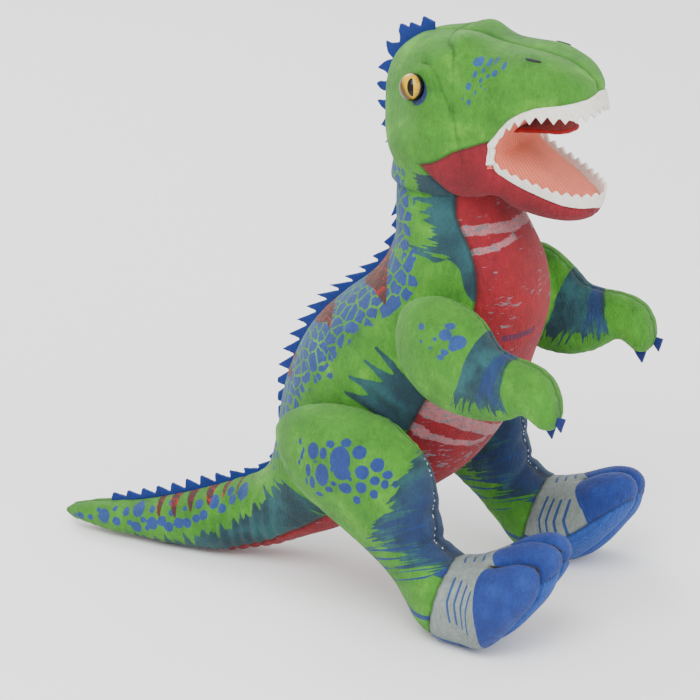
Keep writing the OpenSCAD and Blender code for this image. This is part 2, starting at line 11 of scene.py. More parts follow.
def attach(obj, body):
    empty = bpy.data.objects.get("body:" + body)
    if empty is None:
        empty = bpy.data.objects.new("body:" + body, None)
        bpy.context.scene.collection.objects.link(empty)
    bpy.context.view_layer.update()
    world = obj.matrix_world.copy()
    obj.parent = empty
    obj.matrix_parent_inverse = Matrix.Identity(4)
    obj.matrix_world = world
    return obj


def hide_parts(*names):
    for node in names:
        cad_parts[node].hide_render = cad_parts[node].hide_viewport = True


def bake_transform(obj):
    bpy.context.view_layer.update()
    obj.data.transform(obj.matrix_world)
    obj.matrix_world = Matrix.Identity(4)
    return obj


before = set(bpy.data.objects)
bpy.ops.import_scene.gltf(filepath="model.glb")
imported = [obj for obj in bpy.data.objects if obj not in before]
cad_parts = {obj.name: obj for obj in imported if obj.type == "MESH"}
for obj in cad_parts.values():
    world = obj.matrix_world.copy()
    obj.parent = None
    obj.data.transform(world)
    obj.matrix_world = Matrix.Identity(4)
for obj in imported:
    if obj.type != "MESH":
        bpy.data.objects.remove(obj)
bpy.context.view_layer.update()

# Everything is worked out in millimetres in numpy arrays, and turned into metres when an object
# is made. +X is the toy's nose, +Y its left, +Z up.
MM = 0.001
SIDES = {"right": -1, "left": 1}


# ---- meshes as arrays ------------------------------------------------------------------------


def weld(v, f):
    """Joins vertices that lie in the same place, and drops faces that vanish."""
    points, index = np.unique(np.round(v, 3), axis=0, return_inverse=True)
    f = index.reshape(-1)[f]
    keep = (f[:, 0] != f[:, 1]) & (f[:, 1] != f[:, 2]) & (f[:, 2] != f[:, 0])
    return points, f[keep]


def coordinates(me):
    """A mesh's points in millimetres."""
    out = np.empty(len(me.vertices) * 3, np.float32)
    me.vertices.foreach_get("co", out)
    return out.reshape(-1, 3).astype(float) / MM


def cad(name):
    """A CAD node's vertices and triangles."""
    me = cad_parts[name].data
    me.calc_loop_triangles()
    f = np.empty(len(me.loop_triangles) * 3, np.int32)
    me.loop_triangles.foreach_get("vertices", f)
    return weld(coordinates(me), f.reshape(-1, 3))


def joined(parts):
    verts, faces, base = [], [], 0
    for v, f in parts:
        verts.append(v)
        faces.append(f + base)
        base += len(v)
    return np.concatenate(verts), np.concatenate(faces)


def face_normals(v, f):
    a, b, c = v[f[:, 0]], v[f[:, 1]], v[f[:, 2]]
    return np.cross(b - a, c - a)


def unit(rows):
    return rows / np.linalg.norm(rows, axis=-1, keepdims=True)


def normals(v, f):
    """Vertex normals, from triangles or quads."""
    n = np.zeros_like(v)
    tris = f if f.shape[1] == 3 else np.concatenate([f[:, [0, 1, 2]], f[:, [0, 2, 3]]])
    fn = face_normals(v, tris)
    for k in range(3):
        for c in range(3):
            n[:, c] += np.bincount(tris[:, k], fn[:, c], len(v))
    return n / np.maximum(np.linalg.norm(n, axis=1), 1e-9)[:, None]


def grown(part, d):
    v, f = part
    return v + normals(v, f) * d, f


def hull(points):
    bm = bmesh.new()
    for p in points:
        bm.verts.new(p)
    bmesh.ops.convex_hull(bm, input=bm.verts)
    bm.verts.index_update()
    v = np.array([x.co for x in bm.verts], float)
    bmesh.ops.triangulate(bm, faces=bm.faces)
    f = np.array([[x.index for x in face.verts] for face in bm.faces], int)
    bm.free()
    return v, f


def edges_of(f):
    n = f.shape[1]
    e = np.concatenate([f[:, [k, (k + 1) % n]] for k in range(n)])
    return np.unique(np.sort(e, axis=1), axis=0)


def largest_group(v, f):
    """True for the vertices of the connected group that has the most of them."""
    e = edges_of(f)
    label = np.arange(len(v))
    while True:
        low = np.minimum(label[e[:, 0]], label[e[:, 1]])
        new = label.copy()
        np.minimum.at(new, e[:, 0], low)
        np.minimum.at(new, e[:, 1], low)
        new = new[new]
        if (new == label).all():
            break
        label = new
    names, counts = np.unique(label, return_counts=True)
    return label == names[counts.argmax()]


def only(v, f, keep):
    """The vertices that keep marks, and the faces between them."""
    index = np.cumsum(keep) - 1
    return v[keep], index[f[keep[f].all(axis=1)]]


def neighbour_mean(f, count):
    """A function that averages a number per vertex over the vertex's neighbours."""
    e = edges_of(f)
    degree = np.bincount(e.ravel(), minlength=count).astype(float)

    def mean(x):
        if x.ndim == 2:
            return np.stack([mean(x[:, c]) for c in range(3)], axis=1)
        total = np.bincount(e[:, 0], x[e[:, 1]], count) + np.bincount(e[:, 1], x[e[:, 0]], count)
        return total / degree

    return mean


def relax(v, f, rounds):
    """Taubin smoothing: it rounds off steps and facets, and keeps the volume."""
    mean = neighbour_mean(f, len(v))
    for _ in range(rounds):
        for step in (0.5, -0.53):
            v = v + step * (mean(v) - v)
    return v


def spread(values, f, rounds):
    """Averages a number per vertex with its neighbours."""
    mean = neighbour_mean(f, len(values))
    for _ in range(rounds):
        values = 0.5 * values + 0.5 * mean(values)
    return values


def mesh_object(name, v, f, floats=None, vectors=None, smooth=True):
    """A Blender object from arrays in millimetres, with numbers stored on its vertices."""
    me = bpy.data.meshes.new(name)
    n = f.shape[1]
    me.vertices.add(len(v))
    me.vertices.foreach_set("co", (v * MM).astype(np.float32).ravel())
    me.loops.add(len(f) * n)
    me.loops.foreach_set("vertex_index", f.astype(np.int32).ravel())
    me.polygons.add(len(f))
    me.polygons.foreach_set("loop_start", np.arange(0, len(f) * n, n, dtype=np.int32))
    me.update(calc_edges=True)
    me.polygons.foreach_set("use_smooth", np.full(len(f), smooth))
    for key, value in (floats or {}).items():
        me.attributes.new(key, "FLOAT", "POINT").data.foreach_set("value", value.astype(np.float32))
    for key, value in (vectors or {}).items():
        me.attributes.new(key, "FLOAT_VECTOR", "POINT").data.foreach_set(
            "vector", value.astype(np.float32).ravel()
        )
    me.validate()
    return linked(name, me)


def linked(name, data):
    """A new object in the scene."""
    obj = bpy.data.objects.new(name, data)
    bpy.context.scene.collection.objects.link(obj)
    return obj


def through_modifier(v, f, kind, **settings):
    """The vertices and faces that come out of one Blender modifier."""
    obj = mesh_object("work", v, f)
    modifier = obj.modifiers.new("work", kind)
    for key, value in settings.items():
        setattr(modifier, key, value)
    evaluated = obj.evaluated_get(bpy.context.evaluated_depsgraph_get())
    me = evaluated.to_mesh()
    out = coordinates(me)
    corners = np.empty(len(me.loops), np.int32)
    me.loops.foreach_get("vertex_index", corners)
    evaluated.to_mesh_clear()
    discard(obj)
    return out, corners.reshape(-1, 4)


def discard(obj):
    data = obj.data
    bpy.data.objects.remove(obj)
    bpy.data.meshes.remove(data)


def remeshed(parts, voxel):
    v, f = joined(parts)
    v, f = through_modifier(v, f, "REMESH", mode="VOXEL", voxel_size=voxel * MM)
    return only(v, f, largest_group(v, f))


def subdivided(v, f, levels):
    counts = {"levels": levels, "render_levels": levels}
    return through_modifier(v, f, "SUBSURF", boundary_smooth="ALL", **counts)


def triangles(f):
    return np.concatenate([f[:, [0, 1, 2]], f[:, [0, 2, 3]]])


def tree_of(v, f):
    return BVHTree.FromPolygons(v.tolist(), f.tolist())


def distance(v, *names):
    """How far each vertex lies from the nearest of some CAD nodes."""
    find = tree_of(*joined([cad(n) for n in names])).find_nearest
    return np.array([find(p)[3] for p in v.tolist()])


def smoothstep(x, a, b):
    t = np.clip((x - a) / (b - a), 0, 1)
    return t * t * (3 - 2 * t)


def along_line(line, v):
    """How far along a line of points each vertex lies, and how far from it."""
    line = np.asarray(line, float)
    best = np.full(len(v), 1e9)
    where = np.zeros(len(v))
    start = 0.0
    for a, b in zip(line[:-1], line[1:]):
        ab = b - a
        length = np.linalg.norm(ab)
        t = np.clip((v - a) @ ab / length**2, 0, 1)
        d = np.linalg.norm(v - a - t[:, None] * ab, axis=1)
        near = d < best
        best[near] = d[near]
        where[near] = (start + t * length)[near]
        start += length
    return where, best


def inside_polygon(points, px, py):
    """Signed distance in the plane: positive inside the polygon."""
    best = np.full(len(px), 1e9)
    inside = np.zeros(len(px), bool)
    for (ax, ay), (bx, by) in zip(points, points[1:] + points[:1]):
        ex, ey = bx - ax, by - ay
        t = np.clip(((px - ax) * ex + (py - ay) * ey) / (ex * ex + ey * ey), 0, 1)
        best = np.minimum(best, np.hypot(px - ax - t * ex, py - ay - t * ey))
        if ay != by:
            crosses = (ay > py) != (by > py)
            inside ^= crosses & (px < (bx - ax) * (py - ay) / (by - ay) + ax)
    return np.where(inside, best, -best)


def waves(v, size, seed):
    """A smooth random field with bumps about size mm across, from -1 to 1."""
    random = np.random.default_rng(seed)
    total = np.zeros(len(v))
    for octave in range(2):
        for _ in range(7):
            direction = unit(random.normal(size=3))
            phase = random.uniform(0, 2 * math.pi)
            wave = size / 2**octave * random.uniform(0.8, 1.4) * 2
            total += np.sin(v @ direction * 2 * math.pi / wave + phase) / 2**octave
    return total / 5.5


def bell(x, width):
    """1 where x is 0, falling off to nothing on both sides."""
    return np.exp(-((x / width) ** 2))


def ripple(x, length, shift=0.0):
    return np.sin(x * 2 * math.pi / length + shift)


def cut(v, f, values, arrays):
    """Cuts the triangles along the line where values is zero. arrays are numbers per vertex."""
    values = np.where(np.abs(values) < 1e-4, 1e-4, values)
    positive = values > 0
    e = edges_of(f)
    crossing = e[positive[e[:, 0]] != positive[e[:, 1]]]
    a, b = crossing[:, 0], crossing[:, 1]
    t = values[a] / (values[a] - values[b])
    base = len(v)
    key = a * base + b
    order = np.argsort(key)

    def middle(array):
        w = t if array.ndim == 1 else t[:, None]
        return np.concatenate([array, array[a] * (1 - w) + array[b] * w])

    def new_index(i, j):
        low, high = np.minimum(i, j), np.maximum(i, j)
        return base + order[np.searchsorted(key[order], low * base + high)]

    count = positive[f].sum(axis=1)
    parts = {1: [f[count == 3]], 0: [f[count == 0]]}
    for lone_is_positive in (True, False):
        rows = f[count == (1 if lone_is_positive else 2)]
        if not len(rows):
            continue
        lone = (positive[rows] == lone_is_positive).argmax(axis=1)
        r = np.arange(len(rows))
        p, q, s = rows[r, lone], rows[r, (lone + 1) % 3], rows[r, (lone + 2) % 3]
        pq, ps = new_index(p, q), new_index(p, s)
        own, other = (1, 0) if lone_is_positive else (0, 1)
        parts[own].append(np.stack([p, pq, ps], axis=1))
        parts[other].append(np.stack([pq, q, s], axis=1))
        parts[other].append(np.stack([pq, s, ps], axis=1))
    arrays = {k: middle(x) for k, x in arrays.items()}
    return middle(v), np.concatenate(parts[1]), np.concatenate(parts[0]), arrays


def compact(v, f, arrays):
    used, index = np.unique(f, return_inverse=True)
    return v[used], index.reshape(f.shape), {k: x[used] for k, x in arrays.items()}


# ---- shader nodes ----------------------------------------------------------------------------


class Node:
    """A socket of a material's node tree, with the sums that a pattern needs."""

    def __init__(self, tree, socket):
        self.tree = tree
        self.socket = socket

    def math(self, operation, *others, clamp=False):
        node = self.tree.nodes.new("ShaderNodeMath")
        node.operation = operation
        node.use_clamp = clamp
        for i, value in enumerate((self,) + others):
            connect(self.tree, node.inputs[i], value)
        return Node(self.tree, node.outputs[0])

    def __add__(self, o):
        return self.math("ADD", o)

    def __sub__(self, o):
        return self.math("SUBTRACT", o)

    def __mul__(self, o):
        return self.math("MULTIPLY", o)

    def __truediv__(self, o):
        return self.math("DIVIDE", o)

    def __neg__(self):
        return self.math("MULTIPLY", -1.0)

    def low(self, o):
        return self.math("MINIMUM", o)

    def high(self, o):
        return self.math("MAXIMUM", o)

    def step(self, a, b):
        """0 below a and 1 above b, with a soft change between them."""
        node = self.tree.nodes.new("ShaderNodeMapRange")
        node.interpolation_type = "SMOOTHSTEP"
        connect(self.tree, node.inputs[0], self)
        for i, value in enumerate((a, b, 0.0, 1.0)):
            connect(self.tree, node.inputs[i + 1], value)
        return Node(self.tree, node.outputs[0])

    def curve(self, points):
        """A number read from a line of (input, output) points."""
        low, bottom = np.min(points, axis=0).tolist()
        high, top = np.max(points, axis=0).tolist()
        node = self.tree.nodes.new("ShaderNodeFloatCurve")
        line = node.mapping.curves[0]
        scaled = [((x - low) / (high - low), (y - bottom) / (top - bottom)) for x, y in points]
        line.points[0].location = scaled[0]
        line.points[1].location = scaled[-1]
        for x, y in scaled[1:-1]:
            line.points.new(x, y)
        for point in line.points:
            point.handle_type = "VECTOR"
        node.mapping.update()
        connect(self.tree, node.inputs[1], (self - low) / (high - low))
        return Node(self.tree, node.outputs[0]) * (top - bottom) + bottom


def connect(tree, socket, value):
    if isinstance(value, Node):
        tree.links.new(value.socket, socket)
    else:
        socket.default_value = (*value, 1) if isinstance(value, tuple) else value


# The view transform pales every colour, so each one is raised to this power first.
DEEPEN = 1.6


class Cloth:
    """A material of plush, felt, knit, thread or glass, whose colour is built up in layers."""

    def __init__(self, name, colour, roughness=0.85):
        self.material = bpy.data.materials.new(name)
        self.material.use_nodes = True
        self.tree = self.material.node_tree
        self.tree.nodes.clear()
        output = self.tree.nodes.new("ShaderNodeOutputMaterial")
        self.shader = self.tree.nodes.new("ShaderNodeBsdfPrincipled")
        self.tree.links.new(self.shader.outputs[0], output.inputs[0])
        self.shader.inputs["Roughness"].default_value = roughness
        self.material.diffuse_color = (*colour, 1)
        node = self.tree.nodes.new("ShaderNodeRGB")
        node.outputs[0].default_value = (*colour, 1)
        self.colour = Node(self.tree, node.outputs[0])
        self.bumps = None

    @functools.cached_property
    def rest(self):
        """Where a point was on the toy at rest, in mm."""
        return self.attribute("rest", vector=True)

    def wobble(self):
        return self.noise(self.rest, 3.0)

    def inside(self, name, edge, soft=0.25):
        """1 where a stored distance, with a ragged edge added, is above 0."""
        return (self.attribute(name) + edge).step(-soft, soft)

    def streaks(self, x, y, z, *shape):
        """Noise in a space that is stretched as given."""
        return self.noise(self.vector(x, y, z), 1.0, *shape)

    def ribs(self, across, pitch):
        return (across * (2 * math.pi / pitch)).math("SINE")

    def attribute(self, name, vector=False):
        node = self.tree.nodes.new("ShaderNodeAttribute")
        node.attribute_name = name
        return Node(self.tree, node.outputs["Vector" if vector else "Fac"])

    def vector(self, x, y, z):
        node = self.tree.nodes.new("ShaderNodeCombineXYZ")
        for i, value in enumerate((x, y, z)):
            connect(self.tree, node.inputs[i], value)
        return Node(self.tree, node.outputs[0])

    def parts(self, vector):
        node = self.tree.nodes.new("ShaderNodeSeparateXYZ")
        connect(self.tree, node.inputs[0], vector)
        return [Node(self.tree, o) for o in node.outputs]

    def stretch(self, vector, scale):
        node = self.tree.nodes.new("ShaderNodeMapping")
        connect(self.tree, node.inputs[0], vector)
        node.inputs["Scale"].default_value = scale
        return Node(self.tree, node.outputs[0])

    def noise(self, vector, size, detail=2.0, roughness=0.5, distortion=0.0):
        """Noise from about -0.5 to 0.5, with bumps about size mm across."""
        node = self.tree.nodes.new("ShaderNodeTexNoise")
        connect(self.tree, node.inputs["Vector"], vector)
        node.inputs["Scale"].default_value = 1 / size
        node.inputs["Detail"].default_value = detail
        node.inputs["Roughness"].default_value = roughness
        node.inputs["Distortion"].default_value = distortion
        return Node(self.tree, node.outputs[0]) - 0.5

    def cells(self, vector, size):
        """Voronoi cells in the plane: the distance to the nearest edge, in cell sizes."""
        node = self.tree.nodes.new("ShaderNodeTexVoronoi")
        node.voronoi_dimensions = "2D"
        node.feature = "DISTANCE_TO_EDGE"
        connect(self.tree, node.inputs["Vector"], vector)
        node.inputs["Scale"].default_value = 1 / size
        node.inputs["Randomness"].default_value = 0.85
        return Node(self.tree, node.outputs["Distance"])

    def mixed(self, mask, a, b):
        node = self.tree.nodes.new("ShaderNodeMix")
        node.data_type = "RGBA"
        for i, value in ((0, mask), (6, a), (7, b)):
            connect(self.tree, node.inputs[i], value)
        return Node(self.tree, node.outputs[2])

    def mottled(self, size, low, high, a, b):
        """Two colours in soft patches."""
        return self.mixed(self.noise(self.rest, size).step(low, high), a, b)

    def paint(self, mask, colour):
        """Lays a colour over what is there, where mask is 1."""
        self.colour = self.mixed(mask, self.colour, colour)

    def shade(self, amount):
        """Multiplies the colour by a number."""
        node = self.tree.nodes.new("ShaderNodeVectorMath")
        node.operation = "SCALE"
        connect(self.tree, node.inputs[0], self.colour)
        connect(self.tree, node.inputs["Scale"], amount)
        self.colour = Node(self.tree, node.outputs[0])

    def raise_by(self, height):
        """Adds to the height, in mm, that the bump is made from."""
        self.bumps = height if self.bumps is None else self.bumps + height

    def finish(self, sheen=0.0, sheen_tint=(1, 1, 1)):
        deeper = self.tree.nodes.new("ShaderNodeGamma")
        deeper.inputs[1].default_value = DEEPEN
        self.tree.links.new(self.colour.socket, deeper.inputs[0])
        self.tree.links.new(deeper.outputs[0], self.shader.inputs["Base Color"])
        self.shader.inputs["Sheen Weight"].default_value = sheen
        self.shader.inputs["Sheen Roughness"].default_value = 0.4
        self.shader.inputs["Sheen Tint"].default_value = (*sheen_tint, 1)
        if self.bumps is not None:
            node = self.tree.nodes.new("ShaderNodeBump")
            node.inputs["Distance"].default_value = MM
            node.inputs["Strength"].default_value = 1.0
            self.tree.links.new(self.bumps.socket, node.inputs["Height"])
            self.tree.links.new(node.outputs[0], self.shader.inputs["Normal"])
        return self.material


def srgb(r, g, b):
    """A linear colour from a screen colour out of 255."""
    return tuple(
        ((c / 255 + 0.055) / 1.055) ** 2.4 if c > 10 else c / 255 / 12.92 for c in (r, g, b)
    )


GREEN = srgb(98, 160, 56)
GREEN_PALE = srgb(132, 188, 82)
GREEN_DEEP = srgb(56, 116, 36)
TEAL = srgb(68, 120, 124)
TEAL_DEEP = srgb(44, 92, 104)
SLATE = srgb(64, 100, 154)
SLATE_PALE = srgb(70, 104, 158)
BRICK = srgb(110, 55, 62)
VEIN = srgb(172, 52, 40)
CRIMSON = srgb(156, 2, 62)
SCARLET = srgb(166, 2, 56)
DUSK = srgb(186, 138, 142)
ASH = srgb(150, 140, 145)
PURPLE = srgb(125, 45, 95)
GREEN_EDGE = (0.8, 1.0, 0.7)
RED_EDGE = (1.0, 0.7, 0.7)
BLUE_EDGE = (0.8, 0.9, 1.0)


def plush(cloth, sheen, edge, dark=0.4, width=1.8):
    """The short pile of plush: clumps of fibres, brushed patches, painted shade along seams and
    creases, and a pale edge.
    """
    drawn = cloth.stretch(cloth.rest, (1.0, 1.0, 0.45))
    tufts = cloth.noise(drawn, 0.9, 3.0, 0.65)
    clumps = cloth.noise(drawn, 3.2, 2.0, 0.6, 0.6)
    patches = cloth.noise(cloth.rest, 16.0)
    cloth.raise_by(tufts * 0.9 + clumps * 0.9)
    cloth.shade(tufts * 0.55 + clumps * 0.45 + patches * 0.35 + 1.0)
    # groove is the distance from the nearest seam or crease; near it the colour is darkened as
    # painted shade.
    cloth.shade(cloth.attribute("groove").step(-0.2, width) * dark + (1 - dark))
    return cloth.finish(sheen, edge)


def green_cloth(name):
    cloth = Cloth(name, GREEN)
    patches = cloth.noise(cloth.rest, 22.0, 3.0, 0.55)
    cloth.paint(patches.step(0.0, 0.28) * 0.75, GREEN_PALE)
    cloth.paint((-patches).step(0.02, 0.3) * 0.6, GREEN_DEEP)
    return cloth


def scaly(cloth, plane, thickness, zone, wobble):
    """Blue scales with thin green gaps between them."""
    scale = (cloth.cells(plane, 8.2) - thickness + wobble * 0.05).step(-0.012, 0.012) * zone
    cloth.paint(scale, cloth.mottled(7.0, -0.2, 0.2, SLATE_PALE, SLATE))


# ---- making a padded skin --------------------------------------------------------------------


class Skin:
    """A closed skin as arrays, with numbers per vertex, from which the pieces are cut."""

    def __init__(self, v, f):
        self.v, self.f = v, f
        self.a = {}

    def push(self, amount):
        self.v = self.v + normals(self.v, self.f) * amount[:, None]


CLOTH_PRESSURE = 60.0
CLOTH_FRAMES = 20
CLOTH_MOST = 2.0  # mm that a point may move


def inflated(v, f, panels):
    """Blows the skin up as cloth. It is held where two panels meet, so that each panel bulges."""
    gaps = np.sort([distance(v, *names) for names in panels], axis=0)
    held = 1 - smoothstep(gaps[1] - gaps[0], 1.0, 5.0)
    obj = mesh_object("work_cloth", v, f)
    group = obj.vertex_groups.new(name="held")
    for i in np.nonzero(held > 0.02)[0]:
        group.add([int(i)], float(held[i]), "REPLACE")
    cloth = obj.modifiers.new("cloth", "CLOTH")
    cloth.settings.quality = 4
    cloth.settings.mass = 0.1
    cloth.settings.use_pressure = True
    cloth.settings.uniform_pressure_force = CLOTH_PRESSURE
    cloth.settings.vertex_group_mass = "held"
    cloth.settings.effector_weights.gravity = 0.0
    cloth.collision_settings.use_collision = False
    cloth.point_cache.frame_start = 1
    cloth.point_cache.frame_end = CLOTH_FRAMES
    for frame_number in range(1, CLOTH_FRAMES + 1):
        bpy.context.scene.frame_set(frame_number)
    move = coordinates(obj.evaluated_get(bpy.context.evaluated_depsgraph_get()).to_mesh()) - v
    discard(obj)
    bpy.context.scene.frame_set(1)
    far = np.linalg.norm(move, axis=1)
    move *= np.minimum(1, CLOTH_MOST / np.maximum(far, 1e-9))[:, None]
    return v + np.nan_to_num(spread(move, f, 2))


GROW = 0.5  # mm that a skin stands proud of the CAD panels, for its pile


def filling(name, gap=1.7):
    """A filling, grown by gap mm so that it reaches into its panels."""
    return grown(cad(name), gap)


def padded_skin(parts, panels, voxel, rounds=6):
    """Closes CAD solids into one skin, rounds it off, fills it, and divides it finely."""
    v, f = remeshed(parts, voxel)
    v = inflated(relax(v, f, rounds), f, panels)
    v, f = subdivided(v + normals(v, f) * GROW, f, 2)
    return Skin(v, triangles(f))


def seam_dip(gap, depth, width, slack, reach):
    """A seam's narrow groove, in a wider hollow where the stuffing falls away."""
    return -depth * bell(gap, width) - slack * np.exp(-gap / reach)


# ---- where things are ------------------------------------------------------------------------

# The spine in X, Z and Y, and the axes of a left limb in X, Y and Z.
SPINE = [
    (47, 260, 0), (46.5, 240, 0), (46, 221, 0), (38, 203, 0), (22, 188, 0), (1, 171, 0),
    (-14, 151, 0), (-24, 128, 0), (-30, 104, 0), (-33, 83, 0), (-36, 69, 0), (-40, 60, -1),
    (-46, 54, -3), (-56, 49, -6), (-69, 44, -10), (-84, 39, -14), (-102, 33, -17), (-124, 27, -19),
    (-146, 21.8, -20), (-164, 18, -20), (-177, 14.5, -20), (-182, 11.5, -20),
]
ARM_AXIS = [
    (69, 54.7, 176), (76, 57, 176), (92, 59, 174), (110, 60, 171), (125.5, 61, 165.5),
    (137.5, 64, 160), (148.5, 68, 159.5), (158.5, 71, 161.5), (166.5, 73, 159), (171.5, 74, 152),
    (174, 74, 145), (174, 74, 140.5),
]
LEG_AXIS = [
    (-8, 56, 102.5), (0.5, 58, 103), (17, 60, 100.5), (38.5, 61, 95.5), (59.5, 62, 87),
    (76, 63, 73.5), (85.5, 65, 59), (91.5, 67, 46), (97, 69, 35), (98, 69, 34),
]
TO_CENTRE = np.array([-1.2, 0, 0])
SHOULDER = (98.8, 172)
HIP = (40.8, 92)
NECK = np.array([78.8, 0, 262.0])


def sided(points, sign):
    """A limb's axis on the left (1) or right (-1)."""
    return np.array(points, float) * [1, sign, 1] + TO_CENTRE


def rim_plug(v, centre, radius, sign):
    """Closes the hollow that a limb's root turns in."""
    near = np.hypot(v[:, 0] - centre[0], v[:, 2] - centre[1]) < radius
    return hull(v[near & (v[:, 1] * sign > 30)])


# ---- the body and tail -----------------------------------------------------------------------

SIDE_NODES = {s: [f"side_panel_{s}", f"tail_panel_{s}"] for s in SIDES}
BELLY_NODES = ["belly_panel", "tail_underside"]
torso_nodes = ["side_panel_right", "side_panel_left", "belly_panel"]
torso_points = joined([cad(n) for n in torso_nodes])[0]
parts = [cad(n) for n in torso_nodes + ["tail_panel_right", "tail_panel_left", "tail_underside"]]
parts += [filling("torso_filling", 1.6), filling("tail_filling", 1.6)]
for sign in SIDES.values():
    parts += [rim_plug(torso_points, SHOULDER, 21, sign), rim_plug(torso_points, HIP, 26, sign)]
body = padded_skin(parts, [*SIDE_NODES.values(), BELLY_NODES], voxel=4.6, rounds=7)

to_side = np.min([distance(body.v, *names) for names in SIDE_NODES.values()], axis=0)
body.a["belly"] = distance(body.v, *BELLY_NODES) - to_side
spine = np.array(SPINE, float)[:, [0, 2, 1]] + TO_CENTRE
along, body.a["from_spine"] = along_line(spine, body.v)
body.a["along"] = along
belly_gap = np.abs(body.a["belly"])
groove = np.minimum(belly_gap, body.a["from_spine"])
body.a["groove"] = groove
x, y, z = body.v.T
puckers = ripple(along, 7, 2 * waves(body.v, 40, 3)) * np.exp(-belly_gap / 5)
armpit_folds = ripple(0.55 * x + 0.84 * z, 11) * bell(x - 55, 24) * bell(z - 132, 14)
rump = smoothstep(-x, 15, 30) * smoothstep(x, -80, -60) * smoothstep(-z, -60, -30)
body.push(
    seam_dip(groove, 0.9, 1.3, 0.7, 7)
    + 0.3 * puckers
    + 0.5 * waves(body.v, 20, 5)
    + 1.1 * armpit_folds
    + 0.6 * ripple(x, 8, waves(body.v, 25, 8)) * rump
)

# The parts of the print, as outlines in X and Z.
WAIST = [
    (51, 164), (63, 157), (72, 147), (81, 137), (84, 133), (76, 118), (66, 112), (56, 122),
    (31, 133), (40, 133), (50, 133), (43, 139), (34, 143), (48, 143), (60, 142), (51, 150),
    (44, 155), (57, 150), (68, 147),
]
NECK_TEAL = [
    (68, 285), (71, 262), (73, 252), (76, 243), (79, 235), (81, 229), (71, 221), (81, 217),
    (93, 209), (101, 201), (106, 192), (140, 192), (140, 285),
]
SCALES = [
    (20, 285), (66, 285), (68, 261), (69, 249), (69, 231), (77, 211), (78, 203), (70, 187),
    (56, 181), (46, 172), (36, 165), (25, 151), (23, 139), (9, 132), (1, 118), (-11, 105),
    (-15, 96), (-17, 84), (-24, 66), (-60, 66), (-60, 160), (-10, 240),
]
RED = [
    [
        (48, 222), (50, 208), (53, 199), (55, 188), (49, 191), (42, 194), (31, 193), (26, 198),
        (36, 212),
    ],
    [
        (12, 186), (7, 176), (13, 176), (16, 165), (11, 168), (2, 164), (-4, 163), (-8, 168),
        (-2, 182),
    ],
    [(-12, 142), (-20, 133), (-14, 131), (-18, 126), (-28, 124), (-26, 138)],
]
RUMP = [
    (-130, 6), (-104, 9), (-93, 11), (-79, 16), (-70, 21), (-60, 24), (-53, 32), (-42, 38),
    (-36, 47), (-29, 60), (-14, 64), (2, 60), (9, 53), (30, 50), (30, 20), (-30, -20), (-130, -20),
]
# The red darts of the tail: their tips, the middles of their tops, and half their widths.
DARTS = [
    ((-104, 19), (-110, 33), 3.4), ((-93, 22), (-100, 35), 4.2), ((-83, 28), (-89, 39), 4.4),
    ((-71, 33), (-77, 43), 4.4), ((-62, 38), (-67, 46), 2.6), ((-54, 44), (-58.5, 50), 2.0),
    ((-47, 51), (-53, 53), 1.6),
]
RED += [[(tx - half, tz + 1), (tx + half, tz + 1.5), tip] for tip, (tx, tz), half in DARTS]
TAIL_SPOTS = [
    (-147, 14, 4.5), (-158, 11, 2.2), (-166, 10, 2.6), (-137, 13, 3), (-131, 20, 2.6),
    (-122, 23, 4.2), (-122, 12, 3.8), (-112, 25, 2), (-117, 18, 2), (-110, 17, 4), (-114, 13, 1.8),
    (-127, 14, 2), (-103, 20, 3.2), (-98, 17, 3.3), (-91, 21, 3.6), (-85, 22, 3.2), (-79, 26, 2.6),
    (-79, 34, 2.6), (-74, 29, 3), (-69, 37, 3.6), (-62, 35, 2.8), (-56, 41, 2.6), (-50, 46, 4),
    (-60, 44, 2), (-97, 26, 2), (-100, 31, 1.6), (-140, 20, 1.6), (-152, 17, 1.5), (-88, 30, 1.5),
    (-171, 9, 1.4),
]


def spots_field(spots, px, pz):
    """Signed distance inside a group of ovals, each (x, z, rx, rz) or (x, z, r)."""
    best = np.full(len(px), -99.0)
    for sx, sz, rx, *rz in spots:
        rz = rz[0] if rz else rx
        best = np.maximum(best, (1 - np.hypot((px - sx) / rx, (pz - sz) / rz)) * min(rx, rz))
    return best


body.a["waist"] = inside_polygon(WAIST, x, z)
body.a["neck_teal"] = inside_polygon(NECK_TEAL, x, z)
body.a["scales"] = inside_polygon(SCALES, x, z)
body.a["red"] = np.max([inside_polygon(p, x, z) for p in RED], axis=0)
body.a["rump"] = inside_polygon(RUMP, x, z)
body.a["spots"] = spots_field(TAIL_SPOTS, x, z)
body.a["rest"] = body.v.copy()


